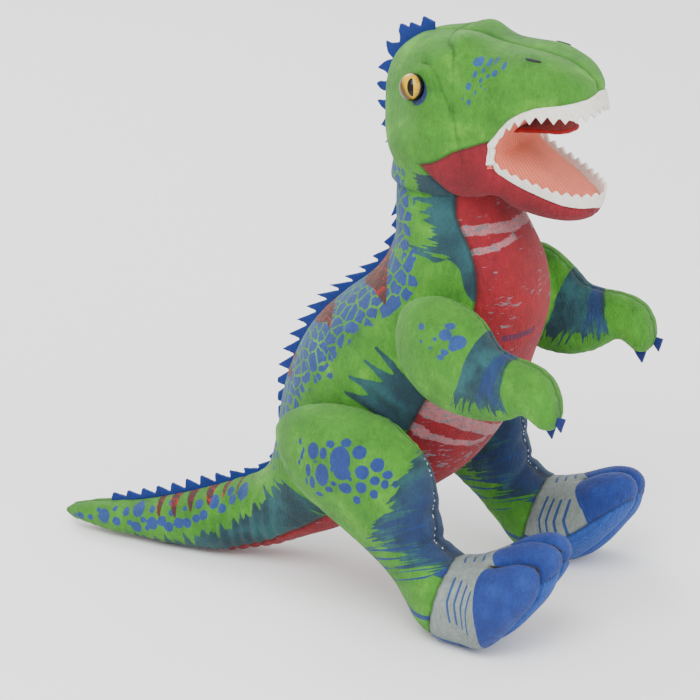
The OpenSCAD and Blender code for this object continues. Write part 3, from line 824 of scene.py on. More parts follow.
def side_cloth():
    """The print of the body's side: a scaly back, teal along the belly, and red darts."""
    cloth = green_cloth("plush_side")
    along = cloth.attribute("along")
    from_spine = cloth.attribute("from_spine")
    wobble = cloth.wobble()
    neck_streaks = cloth.streaks(along / 3.4, from_spine / 26, 0.0, 1.5)
    rump_streaks = cloth.streaks(along / 4.2, from_spine / 30, 7.0, 1.5)
    neck = cloth.inside("neck_teal", neck_streaks * 42 - 2, 0.4)
    rump = cloth.inside("rump", rump_streaks * 34 - 3, 0.4)
    waist = cloth.inside("waist", wobble * 1.5 + 0.6, 0.3)
    cloth.paint(neck.high(rump).high(waist), cloth.mottled(18.0, -0.15, 0.2, TEAL_DEEP, TEAL))
    zone = cloth.attribute("scales")
    thickness = zone.step(9, 0) * 0.22 + 0.075 + cloth.noise(cloth.rest, 9.0) * 0.08
    plane = cloth.vector(along + wobble * 2.5, from_spine * 1.15 + wobble * 2.0, 0.0)
    scaly(cloth, plane, thickness, zone.step(-0.5, 1.5), wobble)
    cloth.paint(cloth.inside("spots", wobble * 1.6), srgb(66, 104, 160))
    veins = cloth.streaks(along / 2.0 + from_spine / 5, from_spine / 7, 3.0, 2.0, 0.6, 0.8)
    cloth.paint(cloth.inside("red", wobble * 1.2), cloth.mixed(veins.step(0.02, 0.1), BRICK, VEIN))
    return cloth


PLUSH_SIDE = plush(side_cloth(), 0.09, GREEN_EDGE, 0.45, 2.2)

# The pale bands of the belly: Y and Z of points along the middle of each, and half its height.
BANDS = [
    ([(-40, 236), (-24, 237.5), (-7, 236.5), (4, 238)], 2.9),
    ([(-40, 224), (-28, 227), (-13, 231)], 1.7),
    ([(-52, 134), (-47, 130), (-41, 124), (-30, 117), (-12, 109), (5, 104)], 3.6),
    ([(-54, 121), (-47, 117), (-43, 111), (-34, 106), (-21, 102), (-12, 103)], 1.9),
]


flat = np.stack([-np.abs(y), z, 0 * z], axis=1)
body.a["bands"] = np.max(
    [half - along_line([(*p, 0) for p in points], flat)[1] for points, half in BANDS], axis=0
)
PURPLE_MARKS = [
    [(-30, 176), (-21, 175.5), (-7, 177), (-9, 173), (-21, 172), (-30, 171.5)],
    [(8, 178), (9, 170), (2, 160), (0, 162), (4, 170)],
]
body.a["purple"] = np.max([inside_polygon(p, y, z) for p in PURPLE_MARKS], axis=0)


def belly_cloth():
    cloth = Cloth("plush_belly", SCARLET)
    px, py, pz = cloth.parts(cloth.rest)
    cloth.paint(cloth.noise(cloth.rest, 20.0).step(-0.1, 0.25), CRIMSON)
    strokes = cloth.streaks(py / 9 + px / 14, pz / 2.2, px / 30, 3.0, 0.7, 0.3)
    cloth.paint((strokes + cloth.noise(cloth.rest, 26.0) * 0.5).step(0.13, 0.17), ASH)
    blot = cloth.streaks(py / 5, pz / 2.0, px / 6, 3.0, 0.65)
    pale = (cloth.attribute("bands") + blot * 3.2).step(-0.2, 0.3)
    cloth.paint(pale, cloth.mixed(blot.step(0.0, 0.12), DUSK, ASH))
    cloth.paint(cloth.inside("purple", blot * 1.5, 0.2), PURPLE)
    return cloth


PLUSH_BELLY = plush(belly_cloth(), 0.08, RED_EDGE, 0.45, 2.2)


def dressed(obj, material, replaced):
    """Gives a piece its material, and hides the CAD parts that it stands for."""
    obj.data.materials.append(material)
    if replaced:
        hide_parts(*replaced)
    return obj


def skin_piece(name, v, f, arrays, material, replaced):
    """A padded piece of the toy, from cut triangles."""
    v, f, arrays = compact(v, f, arrays)
    floats = {k: a for k, a in arrays.items() if a.ndim == 1}
    obj = mesh_object(name, v, f, floats, {"rest": arrays["rest"]})
    return dressed(obj, material, replaced)


v, belly_f, sides_f, arrays = cut(body.v, body.f, -body.a["belly"], body.a)
fillings = ["torso_filling", "tail_filling"]
panel = skin_piece(
    "belly_plush", v, belly_f, arrays, PLUSH_BELLY, BELLY_NODES + fillings
)
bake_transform(panel)
v, left_f, right_f, arrays = cut(v, sides_f, v[:, 1], arrays)
for side, faces in (("left", left_f), ("right", right_f)):
    name = f"side_plush_{side}"
    panel = skin_piece(name, v, faces, arrays, PLUSH_SIDE, SIDE_NODES[side])
    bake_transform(panel)


# ---- the head and jaw ------------------------------------------------------------------------

HEAD_PANELS = ["cheek_panel_right", "cheek_panel_left", "snout_panel_right", "snout_panel_left"]


def neck_plug():
    """Closes the hollow that the neck turns in, from just inside the head's lower edge."""
    points = []
    for height in (-5.0, 0.0, 10.0, 20.0, 30.0):
        radius = 37.0 if height <= 0 else math.sqrt(36.4**2 - height**2)
        for i in range(32):
            a = i * math.pi / 16
            points.append(NECK + (radius * math.cos(a), radius * math.sin(a), height))
    return hull(points)


def throat_plug():
    """Fills the wedge between the head and the back of the jaw."""
    throat = cad("throat_panel")[0]
    jaw = cad("jaw_panel")[0]
    return hull(np.concatenate([throat, jaw[jaw[:, 0] < 122]]))


parts = [cad(n) for n in HEAD_PANELS + ["throat_panel", "palate_lining", "jaw_panel", "jaw_lining"]]
parts += [filling("head_filling"), filling("jaw_filling"), neck_plug(), throat_plug()]
SKULL_PANELS = [[n] for n in HEAD_PANELS]
SKULL_PANELS += [["throat_panel", "jaw_panel"], ["palate_lining"], ["jaw_lining"]]
head = padded_skin(parts, SKULL_PANELS, voxel=3.3, rounds=7)
# The back of the head is narrow, so that the felt spikes show past it from the front.
narrow = smoothstep(80 - head.v[:, 0], 0, 32) * smoothstep(head.v[:, 2], 278, 305)
head.v[:, 1] *= 1 - 0.2 * narrow

to_green = distance(head.v, *HEAD_PANELS)
to_crimson = distance(head.v, "throat_panel", "jaw_panel")
to_plush = np.minimum(to_green, to_crimson)
to_palate = distance(head.v, "palate_lining")
to_floor = distance(head.v, "jaw_lining")
# The line where the green plush of the cheeks meets the crimson of the throat, in X and Z.
THROAT_LINE = [
    (30, 262), (59, 271), (66, 273), (74, 275), (84, 278), (91, 282), (97, 286), (103, 288.5),
    (117, 293),
]
x, y, z = head.v.T
above_throat = (z - np.interp(x, *zip(*THROAT_LINE))) * 0.9
share = smoothstep(x, 113, 119)
above_throat = np.maximum(above_throat, (75 + (275 - z) - x) * 0.7)
head.a["green"] = above_throat * (1 - share) + (to_crimson - to_green) * share
head.a["palate"] = np.minimum(to_plush, to_floor) - to_palate
# The lining goes on round the corner of the mouth, behind the teeth.
corner = np.min([32.5 - np.abs(y), x - 107.5, 128 - x, z - 283.5, 297 - z], axis=0)
corner = np.minimum(corner, -head.a["palate"] + 0.01)
head.a["floor"] = np.maximum(np.minimum(to_plush, to_palate) - to_floor, corner)
in_mouth = np.maximum(head.a["palate"], head.a["floor"])

# The seams of the right half of the head.
BROW_SEAM = [
    (64, -36, 327), (65, -36, 332), (71, -35.5, 335), (79, -37, 334), (86, -41, 328),
    (92, -44, 318), (96, -44.5, 309),
]
CHEEK_SEAM = [
    (80, 0, 348), (82, -12, 346), (86, -26, 343), (91, -30, 341), (94, -37, 333), (95.5, -42, 324),
    (96.5, -44, 311), (99, -45, 299), (101, -44, 289), (103, -43, 281),
]
EYE = {}
for side in SIDES:
    points = cad(f"eye_{side}")[0]
    from_middle = np.linalg.norm(points - (85, 0, 312), axis=1)
    apex = points[from_middle.argmax()]
    shank = points[from_middle < from_middle.min() + 0.6].mean(axis=0)
    EYE[side] = (apex, (apex - shank) / np.linalg.norm(apex - shank))
right_half = np.stack([x, -np.abs(y), z], axis=1)
from_seams = [along_line(seam, right_half)[1] for seam in (BROW_SEAM, CHEEK_SEAM)]
seams = np.min([np.abs(y), *from_seams], axis=0)


def eye_gap(shift=(0, 0, 0)):
    return np.min([np.linalg.norm(head.v - EYE[s][0] - shift, axis=1) for s in SIDES], axis=0)


groove = np.where(in_mouth > 0, 9.0, np.minimum(seams, np.abs(head.a["green"])))
head.a["groove"] = groove
brow = bell(x - 93, 11) * bell(np.abs(y) - 20, 16) * bell(z - 346, 14)
nostril_swell = bell(x - 138, 14) * bell(np.abs(y) - 16, 9) * bell(z - 338, 10)
head.push(
    smoothstep(-in_mouth, 0, 3)
    * (
        seam_dip(groove, 0.9, 1.2, 0.5, 6)
        + 0.5 * waves(head.v, 22, 11)
        + 0.25 * ripple(z, 6, 3 * waves(head.v, 20, 14)) * np.exp(-seams / 4)
        + 5.5 * brow
        - 2.6 * bell(eye_gap(), 10.5)
        + 0.9 * bell(eye_gap() - 12, 4.5)
        + 1.2 * nostril_swell
    )
)
HEAD_DOTS = [
    (107, 337, 2.9, 2.1), (113, 337, 1.4, 1.9), (116.5, 338, 0.8, 1.6), (122, 336, 1.3, 1.9),
    (107, 331.5, 1.1, 1.8), (111, 333.5, 0.8, 1.1), (118, 332.5, 1.5, 1.9), (114.5, 331, 1.0, 1.3),
    (111, 328.5, 0.9, 1.3), (105, 325, 1.5, 2.2), (109, 322, 0.6, 1.3), (106, 316.5, 1.0, 1.6),
    (111.5, 325.5, 0.5, 0.8), (114, 324, 0.5, 0.7), (102.5, 318, 0.5, 0.8),
]
head.a["spots"] = spots_field(HEAD_DOTS, x, z)
head.a["eye_patch"] = 9.9 - eye_gap((2.2, 0, -2.4))
head.a["nape"] = np.minimum(269 - z, 352 - z - x)
head.a["turn"] = np.arctan2(np.abs(y), NECK[0] - x) * 38  # mm round the neck from its back
head.a["rest"] = head.v.copy()


def head_cloth():
    """Green, with dots on the snout, a patch by the eye, and the print of the neck on the nape."""
    cloth = green_cloth("plush_head")
    wobble = cloth.wobble()
    cloth.paint(cloth.inside("spots", wobble * 0.9, 0.2), srgb(64, 118, 160))
    cloth.paint(cloth.inside("eye_patch", wobble * 1.5, 0.3), srgb(52, 78, 128))
    turn, nape = cloth.attribute("turn"), cloth.attribute("nape")
    height = cloth.parts(cloth.rest)[2]
    plane = cloth.vector(height * 0.9 + wobble * 2.5, turn * 1.1 + wobble * 2.0, 3.0)
    zone = (-turn + 44).step(0, 6) * (nape + wobble * 3).step(-0.5, 0.5)
    scaly(cloth, plane, 0.1, zone, wobble)
    streaks = cloth.streaks(turn / 26, height / 3.0, 0.0, 1.5)
    teal = (turn - 52 + streaks * 30).low(nape * 3 + wobble * 6)
    cloth.paint(teal.step(-0.4, 0.4), TEAL_DEEP)
    return cloth


def jaw_cloth():
    cloth = Cloth("plush_crimson", CRIMSON)
    cloth.paint(cloth.noise(cloth.rest, 18.0).step(-0.1, 0.25) * 0.5, srgb(130, 4, 44))
    return cloth


def knit_cloth():
    """The ribbed knit that lines the mouth."""
    cloth = Cloth("mouth_knit", srgb(226, 146, 122))
    px, py, _ = cloth.parts(cloth.rest)
    ribs = cloth.ribs(px * 0.55 + py * 0.85, 2.4)
    loops = cloth.ribs(px * 0.85 - py * 0.55, 1.2)
    cloth.raise_by(ribs * 0.28 + loops * 0.06)
    grime = cloth.noise(cloth.rest, 14.0) * 0.25 + cloth.noise(cloth.rest, 0.8, 3.0) * 0.25
    # The colour follows the ribs, darker in their troughs and lighter on their crests, as painted
    # shade; grime adds random tone.
    cloth.shade(ribs * 0.1 + grime + 1.0)
    return cloth


PLUSH_HEAD = plush(head_cloth(), 0.09, GREEN_EDGE)
PLUSH_CRIMSON = plush(jaw_cloth(), 0.08, RED_EDGE)
MOUTH_KNIT = knit_cloth().finish(0.1)

v, palate_f, rest_f, arrays = cut(head.v, head.f, head.a["palate"], head.a)
v, floor_f, rest_f, arrays = cut(v, rest_f, arrays["floor"], arrays)
v, green_f, crimson_f, arrays = cut(v, rest_f, arrays["green"], arrays)
head_nodes = HEAD_PANELS + ["head_filling", "eye_washer_right", "eye_washer_left"]
jaw_nodes = ["throat_panel", "jaw_panel", "jaw_filling"]
for name, faces, material, slot, replaced, moves in (
    ("head_plush", green_f, PLUSH_HEAD, "plush_body", head_nodes, False),
    ("palate_knit", palate_f, MOUTH_KNIT, "mouth_lining", ["palate_lining"], False),
    ("jaw_plush", crimson_f, PLUSH_CRIMSON, "plush_belly", jaw_nodes, True),
    ("jaw_knit", floor_f, MOUTH_KNIT, "mouth_lining", ["jaw_lining"], True),
):
    piece = skin_piece(name, v, faces, arrays, material, replaced)
    if moves:
        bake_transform(piece)
    else:
        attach(piece, "head")


# ---- felt: teeth, tongue, spikes and claws ---------------------------------------------------


def felt(name, colour, dark, sheen=0.15):
    """Pressed fibres: a matted surface with short, crossing hairs."""
    cloth = Cloth(name, colour, 0.95)
    hairs, across = (
        cloth.noise(cloth.stretch(cloth.rest, scale), 0.7, 4.0, 0.7, 1.2)
        for scale in ((1.0, 0.35, 1.0), (0.4, 1.0, 0.5))
    )
    cloth.raise_by((hairs + across) * 0.35)
    cloth.paint((cloth.noise(cloth.rest, 5.0) + hairs).step(0.0, 0.35) * 0.6, dark)
    cloth.shade(hairs * 0.5 + across * 0.4 + 1.0)
    return cloth.finish(sheen)


FELT_SPIKE = felt("felt_blue", srgb(38, 84, 156), srgb(28, 58, 120))
FELT_TOOTH = felt("felt_white", srgb(236, 234, 228), srgb(222, 216, 208), 0.1)
FELT_TONGUE = felt("felt_red", srgb(176, 26, 38), srgb(140, 18, 30))
FELT_CLAW = felt("felt_claw", srgb(44, 70, 138), srgb(34, 52, 112))


def felt_piece(name, parts, voxel, material, replaced, rounds=2):
    v, f = remeshed(parts, voxel)
    v = relax(v, f, rounds)
    v = v + normals(v, f) * (0.12 * waves(v, 3.0, 21) + 0.1 * waves(v, 9.0, 23))[:, None]
    return dressed(mesh_object(name, v, f, {}, {"rest": v}), material, replaced)


body_tree = tree_of(body.v, body.f)
head_tree = tree_of(head.v, head.f)


def spikes_out(part, tree, most):
    """The spikes on the neck and head, with points that stand out further than in the CAD part."""
    v, f = part
    height = []
    for p in v:
        place, normal, _, _ = tree.find_nearest(p.tolist())
        height.append((Vector(p) - place).dot(normal))
    outside = smoothstep(np.array(height), -1.0, 3.0)
    amount = most * (0.6 + 0.4 * smoothstep(v[:, 2], 190, 235)) * outside
    away = v - np.where(v[:, 2:] > 230, (82, 0, 262), (60, 0, 150))
    away[:, 1] = 0
    return v + unit(away) * amount[:, None], f


def head_zigzag():
    """Felt spikes down the back of the head, from the crown's last one to the nape."""
    middle = np.array([82.0, 0.0, 305.0])
    path = []
    for turn in np.radians(np.linspace(128, 222, 320)):
        way = np.array([math.cos(turn), 0.0, math.sin(turn)])
        hit = head_tree.ray_cast((middle + way * 90).tolist(), (-way).tolist(), 90)
        path.append(np.array(hit[0]))
    path = np.array(path)
    for _ in range(60):
        path[1:-1] = (path[:-2] + 2 * path[1:-1] + path[2:]) / 4
    s = np.concatenate([[0], np.cumsum(np.linalg.norm(np.diff(path, axis=0), axis=1))])
    tangent = np.gradient(path, axis=0)
    out = unit(np.stack([tangent[:, 2], 0 * s, -tangent[:, 0]], axis=1))
    out *= np.sign(((path - middle) * out).sum(axis=1))[:, None]
    pitch = s[-1] / round(s[-1] / 10.5)
    tooth = 1 - np.abs(((s / pitch) % 1) - 0.5) * 2
    sides = np.tile([0.0, 1.0, 0.0], (len(s), 1))
    return band(path - out * 2.5, out, sides, 5.0 + 9.5 * tooth, 2.4)


def band(line_points, directions, sides, height, thick=1.9):
    """A closed strip of felt along a line. Its free edge is as high as height says."""
    n = len(line_points)
    top = line_points + directions * height[:, None]
    half = sides * thick / 2
    v = np.concatenate([line_points - half, line_points + half, top + half, top - half])
    f = []
    for i in range(n - 1):
        for k in range(4):
            a, b = k * n + i, ((k + 1) % 4) * n + i
            f.append((a, a + 1, b + 1))
            f.append((a, b + 1, b))
    for i, flip in ((0, 1), (n - 1, -1)):
        a, b, c, d = (k * n + i for k in range(4))
        f += [(a, b, c)[::flip], (a, c, d)[::flip]]
    return v, np.array(f)


def rim_line(points, middle, count):
    """Sorts the points of a cut edge round the mouth and spaces them evenly."""
    angle = np.arctan2(points[:, 1] - middle[1], points[:, 0] - middle[0])
    order = np.argsort(angle)
    angle, points = angle[order], points[order]
    bins = np.linspace(angle[0], angle[-1], 90)
    smooth = []
    out = np.linalg.norm(points[:, :2] - middle, axis=1)
    for a in bins:
        near = np.abs(angle - a) < 0.06
        far = out[near].max() if near.any() else out.max()
        w = np.exp(-(((angle - a) / 0.035) ** 2)) * (out > far - 5) + 1e-9 * near
        smooth.append((points * w[:, None]).sum(axis=0) / w.sum())
    smooth = np.array(smooth)
    s = np.concatenate([[0], np.cumsum(np.linalg.norm(np.diff(smooth, axis=0), axis=1))])
    even = np.linspace(0, s[-1], count)
    return np.stack([np.interp(even, s, smooth[:, c]) for c in range(3)], axis=1), even


def corner_line(low, high, count):
    """From the lower rim's end up to the upper rim's end, round the corner of the mouth."""
    t = np.linspace(0, 1, count, endpoint=False)[:, None]
    bulge = np.array([-3.0, 0.0, 0.0]) * np.sin(t * math.pi)
    return low * (1 - t) + high * t + bulge


def mouth_teeth(rim, s, upper):
    """The zigzag of one jaw: its line, ways of the points, ways out and height at each step."""
    total = s[-1]
    out = unit(np.cross(unit(np.gradient(rim, axis=0)), [0, 0, 1]))
    lean, forward, up = (0.22, 0.0, -1) if upper else (0.35, -0.1, 1)
    directions = unit(out * lean + np.array([forward, 0, up]))
    inward = 1 - np.abs(s / total - 0.5) * 2
    full = 5.5 + (5.6 if upper else 3.0) * smoothstep(inward, 0.1, 0.85)
    pitch = total / round(total / 6.2)
    zig = np.abs(((s + 0.7 * np.sin(s / 9.0)) / pitch) % 1 - 0.5) * 2
    notch = (4.4 if upper else 3.0) * smoothstep(inward, 0.03, 0.2)
    return [rim, directions, out, full - notch * zig]


def mouth_corner(low, teeth, end):
    """The plain strip from the lower rim's end up to one end of the upper teeth."""
    high, _, out, height = (array[end] for array in teeth)
    t = np.linspace(0, 1, 60, endpoint=False)
    turn = np.radians(20 - 110 * t)
    directions = np.stack([np.cos(turn), 0 * t, np.sin(turn)], axis=1)
    t = t[:, None]
    outward = np.array([[0.0, np.sign(high[1]), 0.0]]) * (1 - t) + out * t
    return [corner_line(low, high, 60), directions, outward, 4.5 + (height - 4.5) * t[:, 0]]


def teeth_band(rim, directions, out, height):
    return band(rim + out * 0.7 - directions * 1.2, directions, out, height + 1.2)


tongue_v, tongue_f = cad("tongue")
# The tongue is thinner and lies higher than in the CAD part.
tongue_v = tongue_v + np.outer((tongue_v[:, 2].max() - tongue_v[:, 2]) * 0.5 + 5.0, (0, 0, 1))
tongue = (tongue_v, tongue_f)
piece = felt_piece("felt_tongue", [tongue], 1.0, FELT_TONGUE, ["tongue"], rounds=6)
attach(piece, "head")
for name, body_name, tree, most, more in (
    ("back_spikes", "torso", body_tree, 4.0, []),
    ("tail_spikes", "tail", body_tree, 0.0, []),
    ("head_spikes", "head", head_tree, 4.0, [head_zigzag()]),
):
    parts = [spikes_out(cad(name), tree, most)] + more
    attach(felt_piece("felt_" + name, parts, 0.62, FELT_SPIKE, [name]), body_name)
upper_rim, upper_s = rim_line(v[np.intersect1d(palate_f, green_f)], (112, 0), 700)
lower_rim, lower_s = rim_line(v[np.intersect1d(floor_f, crimson_f)], (112, 0), 700)
upper = mouth_teeth(upper_rim, upper_s, True)
starting = mouth_corner(lower_rim[0], upper, 0)
ending = [array[::-1] for array in mouth_corner(lower_rim[-1], upper, -1)]
upper = teeth_band(*(np.concatenate(arrays) for arrays in zip(starting, upper, ending)))
lower = teeth_band(*mouth_teeth(lower_rim, lower_s, False))
upper, lower = (
    felt_piece("felt_teeth_" + name, [part], 0.5, FELT_TOOTH, [name + "_teeth"], 1)
    for name, part in (("upper", upper), ("lower", lower))
)
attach(upper, "head")
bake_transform(lower)


# ---- eyes and nostrils -----------------------------------------------------------------------


def eye_glass():
    """A moulded eye: gold with fine rays, brown painted shade towards its lower back, and a black
    slit.
    """
    cloth = Cloth("eye", srgb(218, 190, 0), 0.2)
    px, py, _ = cloth.parts(cloth.attribute("eye", vector=True))
    far = (px * px + py * py).math("SQRT")
    rays = cloth.streaks(py.math("ARCTAN2", px) * 9, far / 9, 0.0, 3.0, 0.6)
    cloth.paint(rays.step(-0.02, 0.2) * 0.5, srgb(170, 128, 40))
    cloth.paint((far + rays * 3).step(6.0, 8.5) * 0.6, srgb(140, 100, 40))
    # Brown painted shade on the lower back side, where the glass would reflect a dark room.
    cloth.paint((-px - py * 0.7 + rays * 1.5).step(-1.0, 3.0) * 0.8, srgb(84, 64, 34))
    slit = px - 3.4 + py * 0.12
    pupil = (slit * slit / 3.4 + py * py / 26 + rays * 0.5).step(0.9, 1.05)
    cloth.paint(-pupil + 1.0, srgb(22, 20, 14))
    cloth.paint(far.step(7.5, 7.8), srgb(30, 30, 26))
    cloth.shader.inputs["Coat Weight"].default_value = 0.12
    cloth.shader.inputs["Specular IOR Level"].default_value = 0.25
    cloth.shader.inputs["Coat Roughness"].default_value = 0.03
    return cloth.finish()


EYE_GLASS = eye_glass()
# The eye's outline, as radius and height in mm, and how deep its base sits below the CAD eye's top.
EYE_PROFILE = [
    (0, 5.4), (2, 5.25), (4, 4.75), (6, 3.6), (7.3, 2.1), (8.0, 0.4), (8.1, -1.0), (8.0, -3.0),
    (0, -3.0),
]
EYE_DEPTH = 4.4


def lathe(profile, count=64):
    """A solid of revolution about Z. The profile starts and ends on the axis."""
    ring = profile[1:-1]
    v = [(0, 0, profile[0][1])]
    for r, h in ring:
        v += [(r * math.cos(a), r * math.sin(a), h) for a in np.arange(count) * 2 * math.pi / count]
    v.append((0, 0, profile[-1][1]))
    f = []
    for i in range(count):
        j = (i + 1) % count
        f.append((0, 1 + i, 1 + j))
        for k in range(len(ring) - 1):
            a, b = 1 + k * count, 1 + (k + 1) * count
            f += [(a + i, b + i, b + j), (a + i, b + j, a + j)]
        last = 1 + (len(ring) - 1) * count
        f.append((last + i, len(v) - 1, last + j))
    return np.array(v, float), np.array(f)


def fine_profile(profile, steps=5):
    """The same profile with rounded corners, as a smooth curve through its points."""
    points = np.array(profile, float)
    t = np.linspace(0, 1, (len(points) - 1) * steps + 1)
    knots = np.linspace(0, 1, len(points))
    r, h = np.interp(t, knots, points[:, 0]), np.interp(t, knots, points[:, 1])
    for _ in range(4):
        r[1:-1] = (r[:-2] + 2 * r[1:-1] + r[2:]) / 4
        h[1:-1] = (h[:-2] + 2 * h[1:-1] + h[2:]) / 4
    return list(zip(r, h))


for side, sign in SIDES.items():
    apex, out = EYE[side]
    across = unit(np.array([1.0, 0.0, 0.0]) - out * out[0])
    up = np.cross(out, across) * -sign
    axes = np.stack([across, up, out])
    v, f = lathe(fine_profile(EYE_PROFILE))
    faces = f[:, ::-1] if np.linalg.det(axes) < 0 else f
    printed = {"eye": v * [1, np.sign(up[2]), 1]}
    obj = mesh_object(f"eye_glass_{side}", apex - out * EYE_DEPTH + v @ axes, faces, {}, printed)
    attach(dressed(obj, EYE_GLASS, [f"eye_{side}"]), "head")


def tube(points, radius, around=10):
    """A closed tube along a line, thinner towards its two ends."""
    points = np.array(points, float)
    n = len(points)
    tangent = unit(np.gradient(points, axis=0))
    side_way = unit(np.cross(tangent, [0.3, 0.2, 0.93]))
    up_way = np.cross(side_way, tangent)
    thick = radius * np.sqrt(np.maximum(1 - np.linspace(-1, 1, n) ** 8, 0.04))[:, None]
    turns = [2 * math.pi * k / around for k in range(around)]
    v = [points + (side_way * math.cos(a) + up_way * math.sin(a)) * thick for a in turns]
    v, f = np.concatenate(v), []
    for i in range(n - 1):
        for k in range(around):
            a, b = k * n + i, ((k + 1) % around) * n + i
            f += [(a, b, b + 1), (a, b + 1, a + 1)]
    for end, flip in ((0, False), (n - 1, True)):
        for k in range(1, around - 1):
            face = (end, (k + 1) * n + end, k * n + end)
            f.append(face[::-1] if flip else face)
    return v, np.array(f)


def thread(name, colour):
    """Twisted thread."""
    cloth = Cloth(name, colour, 0.6)
    px, py, pz = cloth.parts(cloth.rest)
    twist = cloth.ribs(px + py * 0.8 + pz * 1.3, 0.9)
    cloth.raise_by(twist * 0.1)
    # The colour follows the twist, darker in its grooves and lighter on its crests, as painted
    # shade; the noise adds random tone.
    cloth.shade(twist * 0.15 + cloth.noise(cloth.rest, 4.0) * 0.3 + 1.0)
    return cloth.finish(0.1)


THREAD_DARK = thread("thread_dark", srgb(34, 38, 52))
THREAD_WHITE = thread("thread_white", srgb(226, 232, 236))


def thread_piece(name, tubes, material, replaced):
    v, f = joined(tubes)
    return dressed(mesh_object(name, v, f, {}, {"rest": v}), material, replaced)


def on_skin(tree, points, lift):
    """The nearest places on a skin, lifted off it a little."""
    placed = []
    for p in points:
        place, normal, _, _ = tree.find_nearest(list(p))
        placed.append(np.array(place) + np.array(normal) * lift)
    return np.array(placed)


NOSTRIL = [
    (131.5, -21.5, 336.6), (133, -22, 338.2), (135, -22, 338.6), (137, -21.8, 338.2),
    (139, -21.3, 337.4), (140.5, -21, 336.4),
]
for side, sign in SIDES.items():
    stitches = []
    for drop in np.arange(4) * 0.8:
        row = np.array(NOSTRIL) * [1, -sign, 1]
        row[1:-1, 2] -= drop * np.array([0.7, 1.0, 1.0, 0.7])
        fine = [np.interp(np.linspace(0, 5, 26), range(6), row[:, c]) for c in range(3)]
        stitches.append(tube(on_skin(head_tree, np.stack(fine, axis=1), 0.25), 0.55))
    piece = thread_piece(f"nostril_thread_{side}", stitches, THREAD_DARK, [f"nostril_{side}"])
    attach(piece, "head")


# ---- arms ------------------------------------------------------------------------------------


def meet_body(skin, sign, centre, near, far):
    """Moves a limb's inner side until it touches the body, most of all near the joint's axis."""
    x, y, z = skin.v.T
    from_axis = np.hypot(x - centre[0], z - centre[1])
    inward = -normals(skin.v, skin.f)[:, 1] * sign
    inner = smoothstep(inward, 0.0, 0.35) * (1 - smoothstep(from_axis, near, far))
    gap = np.zeros(len(skin.v))
    for i in np.nonzero((inner > 0) & (np.abs(y) > 48))[0]:
        hit = body_tree.ray_cast(skin.v[i].tolist(), (0, -sign, 0), 16)
        if hit[0] is not None:
            gap[i] = hit[3]
    skin.v[:, 1] -= spread(np.maximum(gap - 0.2, 0) * inner, skin.f, 12) * sign


ARM_SPOTS = [
    (93, 191, 1.9, 1.9), (94, 183, 1.1, 1.1), (100.5, 180.5, 1.0, 0.9), (103, 186, 1.4, 1.2),
    (111, 194, 3.2, 1.7), (109, 189, 4.0, 3.1), (117, 186, 5.0, 3.8), (114.5, 183, 2.7, 2.3),
    (109.5, 179.5, 2.5, 2.0), (107, 176, 2.2, 1.6),
]


def arm_cloth():
    """Spots on the upper arm, and a ragged teal cuff with a deeper blue part."""
    cloth = green_cloth("plush_arm")
    cloth.paint(cloth.inside("spots", cloth.wobble()), srgb(70, 108, 160))
    reach, low = cloth.attribute("reach"), cloth.attribute("from_low")
    hatch = cloth.streaks(reach / 2.3, low / 30, 0.0, 2.0, 0.6)
    cuff = (cloth.attribute("cuff") + hatch * 7).low(low - 13 + hatch * 46)
    cloth.paint(cuff.step(-0.3, 0.3), cloth.mottled(12.0, -0.15, 0.15, TEAL_DEEP, TEAL))
    ink = cloth.streaks(reach / 1.8, low / 24, 5.0, 2.0, 0.6)
    deep = (cuff - 5 + ink * 22).low((reach - 74) * 0.6 + ink * 20).low(-reach + 108)
    cloth.paint(deep.step(-0.3, 0.5) * 0.75, srgb(46, 84, 140))
    return cloth


PLUSH_ARM = plush(arm_cloth(), 0.09, GREEN_EDGE)
# The arm's lower edge in X and Z.
ARM_EDGE = [
    (69, 170), (77, 155), (91, 143), (109, 137), (126, 135), (138, 137), (148, 141), (155, 146),
    (160, 148), (166, 143),
]

for side, sign in SIDES.items():
    names = [f"arm_outer_{side}", f"arm_inner_{side}"]
    parts = [cad(n) for n in names] + [filling(f"arm_filling_{side}")]
    arm = padded_skin(parts, [[n] for n in names], voxel=3.6)
    outer, inner = (distance(arm.v, n) for n in names)
    seam = np.abs(outer - inner)
    reach = along_line(sided(ARM_AXIS, sign), arm.v)[0]
    x, y, z = arm.v.T
    arm.a["reach"] = reach
    arm.a["from_low"] = z - np.interp(x, *zip(*ARM_EDGE))
    arm.a["cuff"] = np.minimum(reach - 55, 88 - reach)
    arm.a["spots"] = spots_field(ARM_SPOTS, x, z) - 30 * (outer > inner)
    arm.a["groove"] = seam
    arm.push(
        seam_dip(seam, 0.8, 1.2, 0.5, 5)
        + 0.45 * waves(arm.v, 16, 31)
        + 0.3 * ripple(reach, 6) * np.exp(-seam / 4)
        - 0.9 * bell(x - 137, 5) * smoothstep(z, 150, 175)
    )
    meet_body(arm, sign, SHOULDER, 16, 34)
    arm.a["rest"] = arm.v.copy()
    replaced = names + [f"arm_filling_{side}"]
    piece = skin_piece(
        f"arm_plush_{side}", arm.v, arm.f, arm.a, PLUSH_ARM, replaced
    )
    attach(piece, f"arm_{side}")
    claws = cad(f"hand_claws_{side}")
    first = largest_group(*claws)
    arm_tree = tree_of(arm.v, arm.f)
    for i, keep in enumerate((first, ~first)):
        v, f = only(*claws, keep)
        # Each claw is lifted until its root is 2 mm inside the hand.
        root = v[v[:, 2] > v[:, 2].max() - 2].mean(axis=0)
        hand = arm_tree.ray_cast((root - [0, 0, 8]).tolist(), (0, 0, 1), 40)[0]
        claw = (v + [0, 0, hand[2] + 2.0 - root[2]], f)
        piece = felt_piece(
            f"felt_claw_{side}_{i + 1}", [claw], 0.45, FELT_CLAW,
            [f"hand_claws_{side}"], rounds=3,
        )
        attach(piece, f"arm_{side}")


# ---- legs and feet ---------------------------------------------------------------------------

